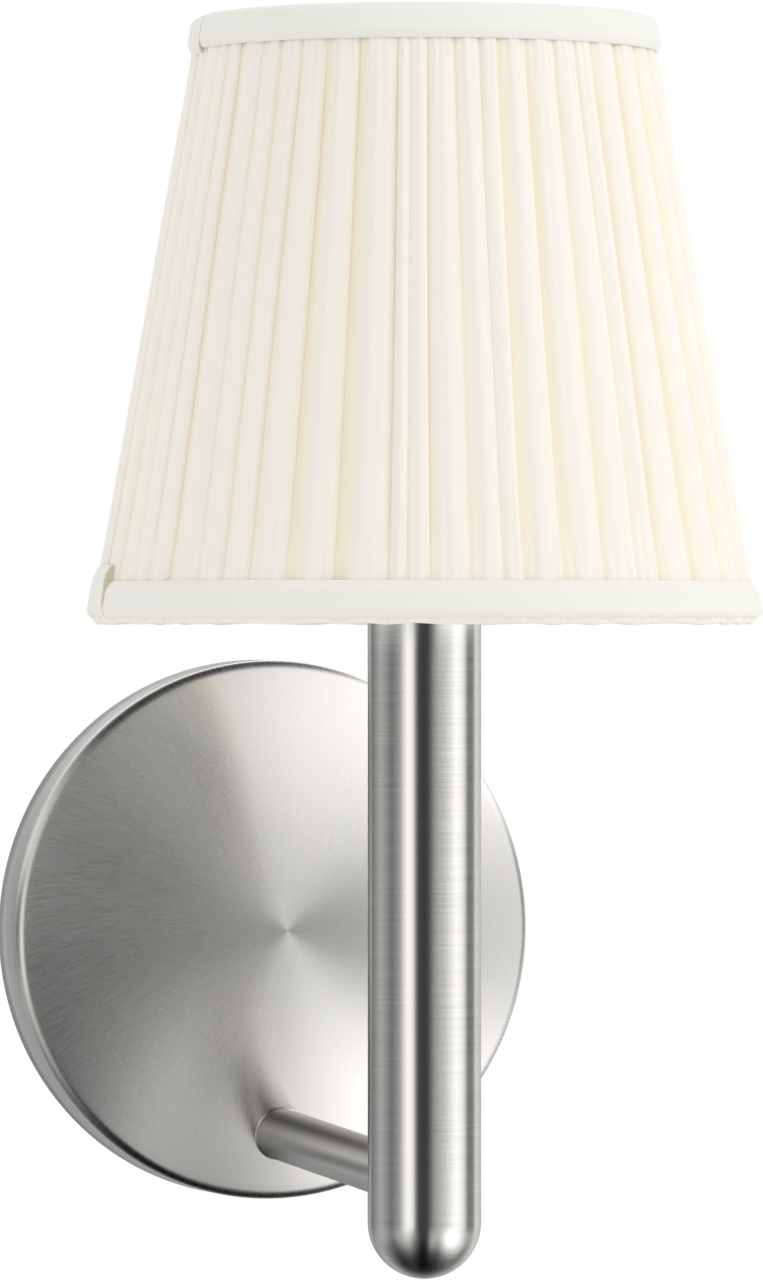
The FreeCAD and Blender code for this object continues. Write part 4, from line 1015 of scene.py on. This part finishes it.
def lay_floor(stage):
    """A pale floor under the light that fades into the white room away from it."""
    level = -stage.floor_drop
    points = turned(np.array([(0.0, level), (FLOOR_RADIUS, level)]), 64, about_stem)
    quads = grid_quads(*points.shape[:2], False, True)[0]
    floor = mesh_piece("floor", points, quads)
    material, tree, shader = finish("floor_paint", base_color=(0.95, 0.95, 0.95), roughness=0.9)
    away = add(tree, "VectorMath", {0: vector(tree, "MULTIPLY", place_on_object(tree), (1, 1, 0))},
               operation="LENGTH").outputs[1]
    fade = add(tree, "MapRange", {0: away, 1: FLOOR_FADE[0], 2: FLOOR_FADE[1]},
               interpolation_type="SMOOTHSTEP")
    clear = add(tree, "BsdfTransparent")
    mix = add(tree, "MixShader", {0: fade.outputs[0], 1: shader.outputs[0], 2: clear.outputs[0]})
    tree.links.new(mix.outputs[0], tree.nodes["Material Output"].inputs[0])
    floor.data.materials.append(material)
    floor.visible_glossy = False


class SetStage(bpy.types.Operator):
    """Set up the camera, the pale floor and the soft light"""
    bl_idname = "wall_light.set_stage"
    bl_label = "Stage"

    def execute(self, context):
        stage = context.scene.light_stage
        turn = stage.camera_turn
        camera = bpy.data.objects.new("camera", bpy.data.cameras.new("camera"))
        camera.location = (-stage.camera_reach * math.sin(turn),
                           STEM_Y - stage.camera_reach * math.cos(turn), stage.camera_height)
        camera.rotation_euler = (math.pi / 2, 0, -turn)
        camera.data.sensor_fit, camera.data.sensor_height = "VERTICAL", 36.0
        camera.data.lens = stage.lens
        camera.data.shift_x, camera.data.shift_y = CAMERA_SHIFT
        camera.data.clip_end = 50.0
        context.scene.collection.objects.link(camera)
        context.scene.camera = camera
        context.scene.view_settings.view_transform = "Standard"
        light_room(stage)
        lay_floor(stage)
        soft_light("key", KEY_PLACE, (0, STEM_Y, 0.05), KEY_SIZE, stage.key * KEY_WATTS)
        return {"FINISHED"}


class WALL_LIGHT_PT_pieces(bpy.types.Panel):
    """Lists the pieces of the wall light"""
    bl_label = "Wall light"
    bl_space_type = "VIEW_3D"
    bl_region_type = "UI"
    bl_category = "Wall light"

    def draw(self, context):
        for step in STEPS:
            self.layout.operator(step.bl_idname)
        for holder, _ in GROUPS:
            group = getattr(context.scene, holder)
            for name in group.bl_rna.properties.keys():
                if name not in ("rna_type", "name"):
                    self.layout.prop(group, name)


STEPS = (SetStage, MakeBackplate, MakeArm, MakeStem, MakeCover, FinishShadeFrame,
         FinishLampholder, FinishBulb, FinishBracket)
GROUPS = (("light_metal", MetalSettings), ("light_shade", ShadeSettings),
          ("light_stage", StageSettings))


def register():
    for name, group in GROUPS:
        bpy.utils.register_class(group)
        setattr(bpy.types.Scene, name, PointerProperty(type=group))
    for step in STEPS:
        bpy.utils.register_class(step)
    bpy.utils.register_class(WALL_LIGHT_PT_pieces)


def unregister():
    bpy.utils.unregister_class(WALL_LIGHT_PT_pieces)
    for step in reversed(STEPS):
        bpy.utils.unregister_class(step)
    for name, group in reversed(GROUPS):
        delattr(bpy.types.Scene, name)
        bpy.utils.unregister_class(group)


def main():
    register()
    for step in STEPS:
        group, name = step.bl_idname.split(".")
        getattr(getattr(bpy.ops, group), name)()


if __name__ == "__main__":
    main()
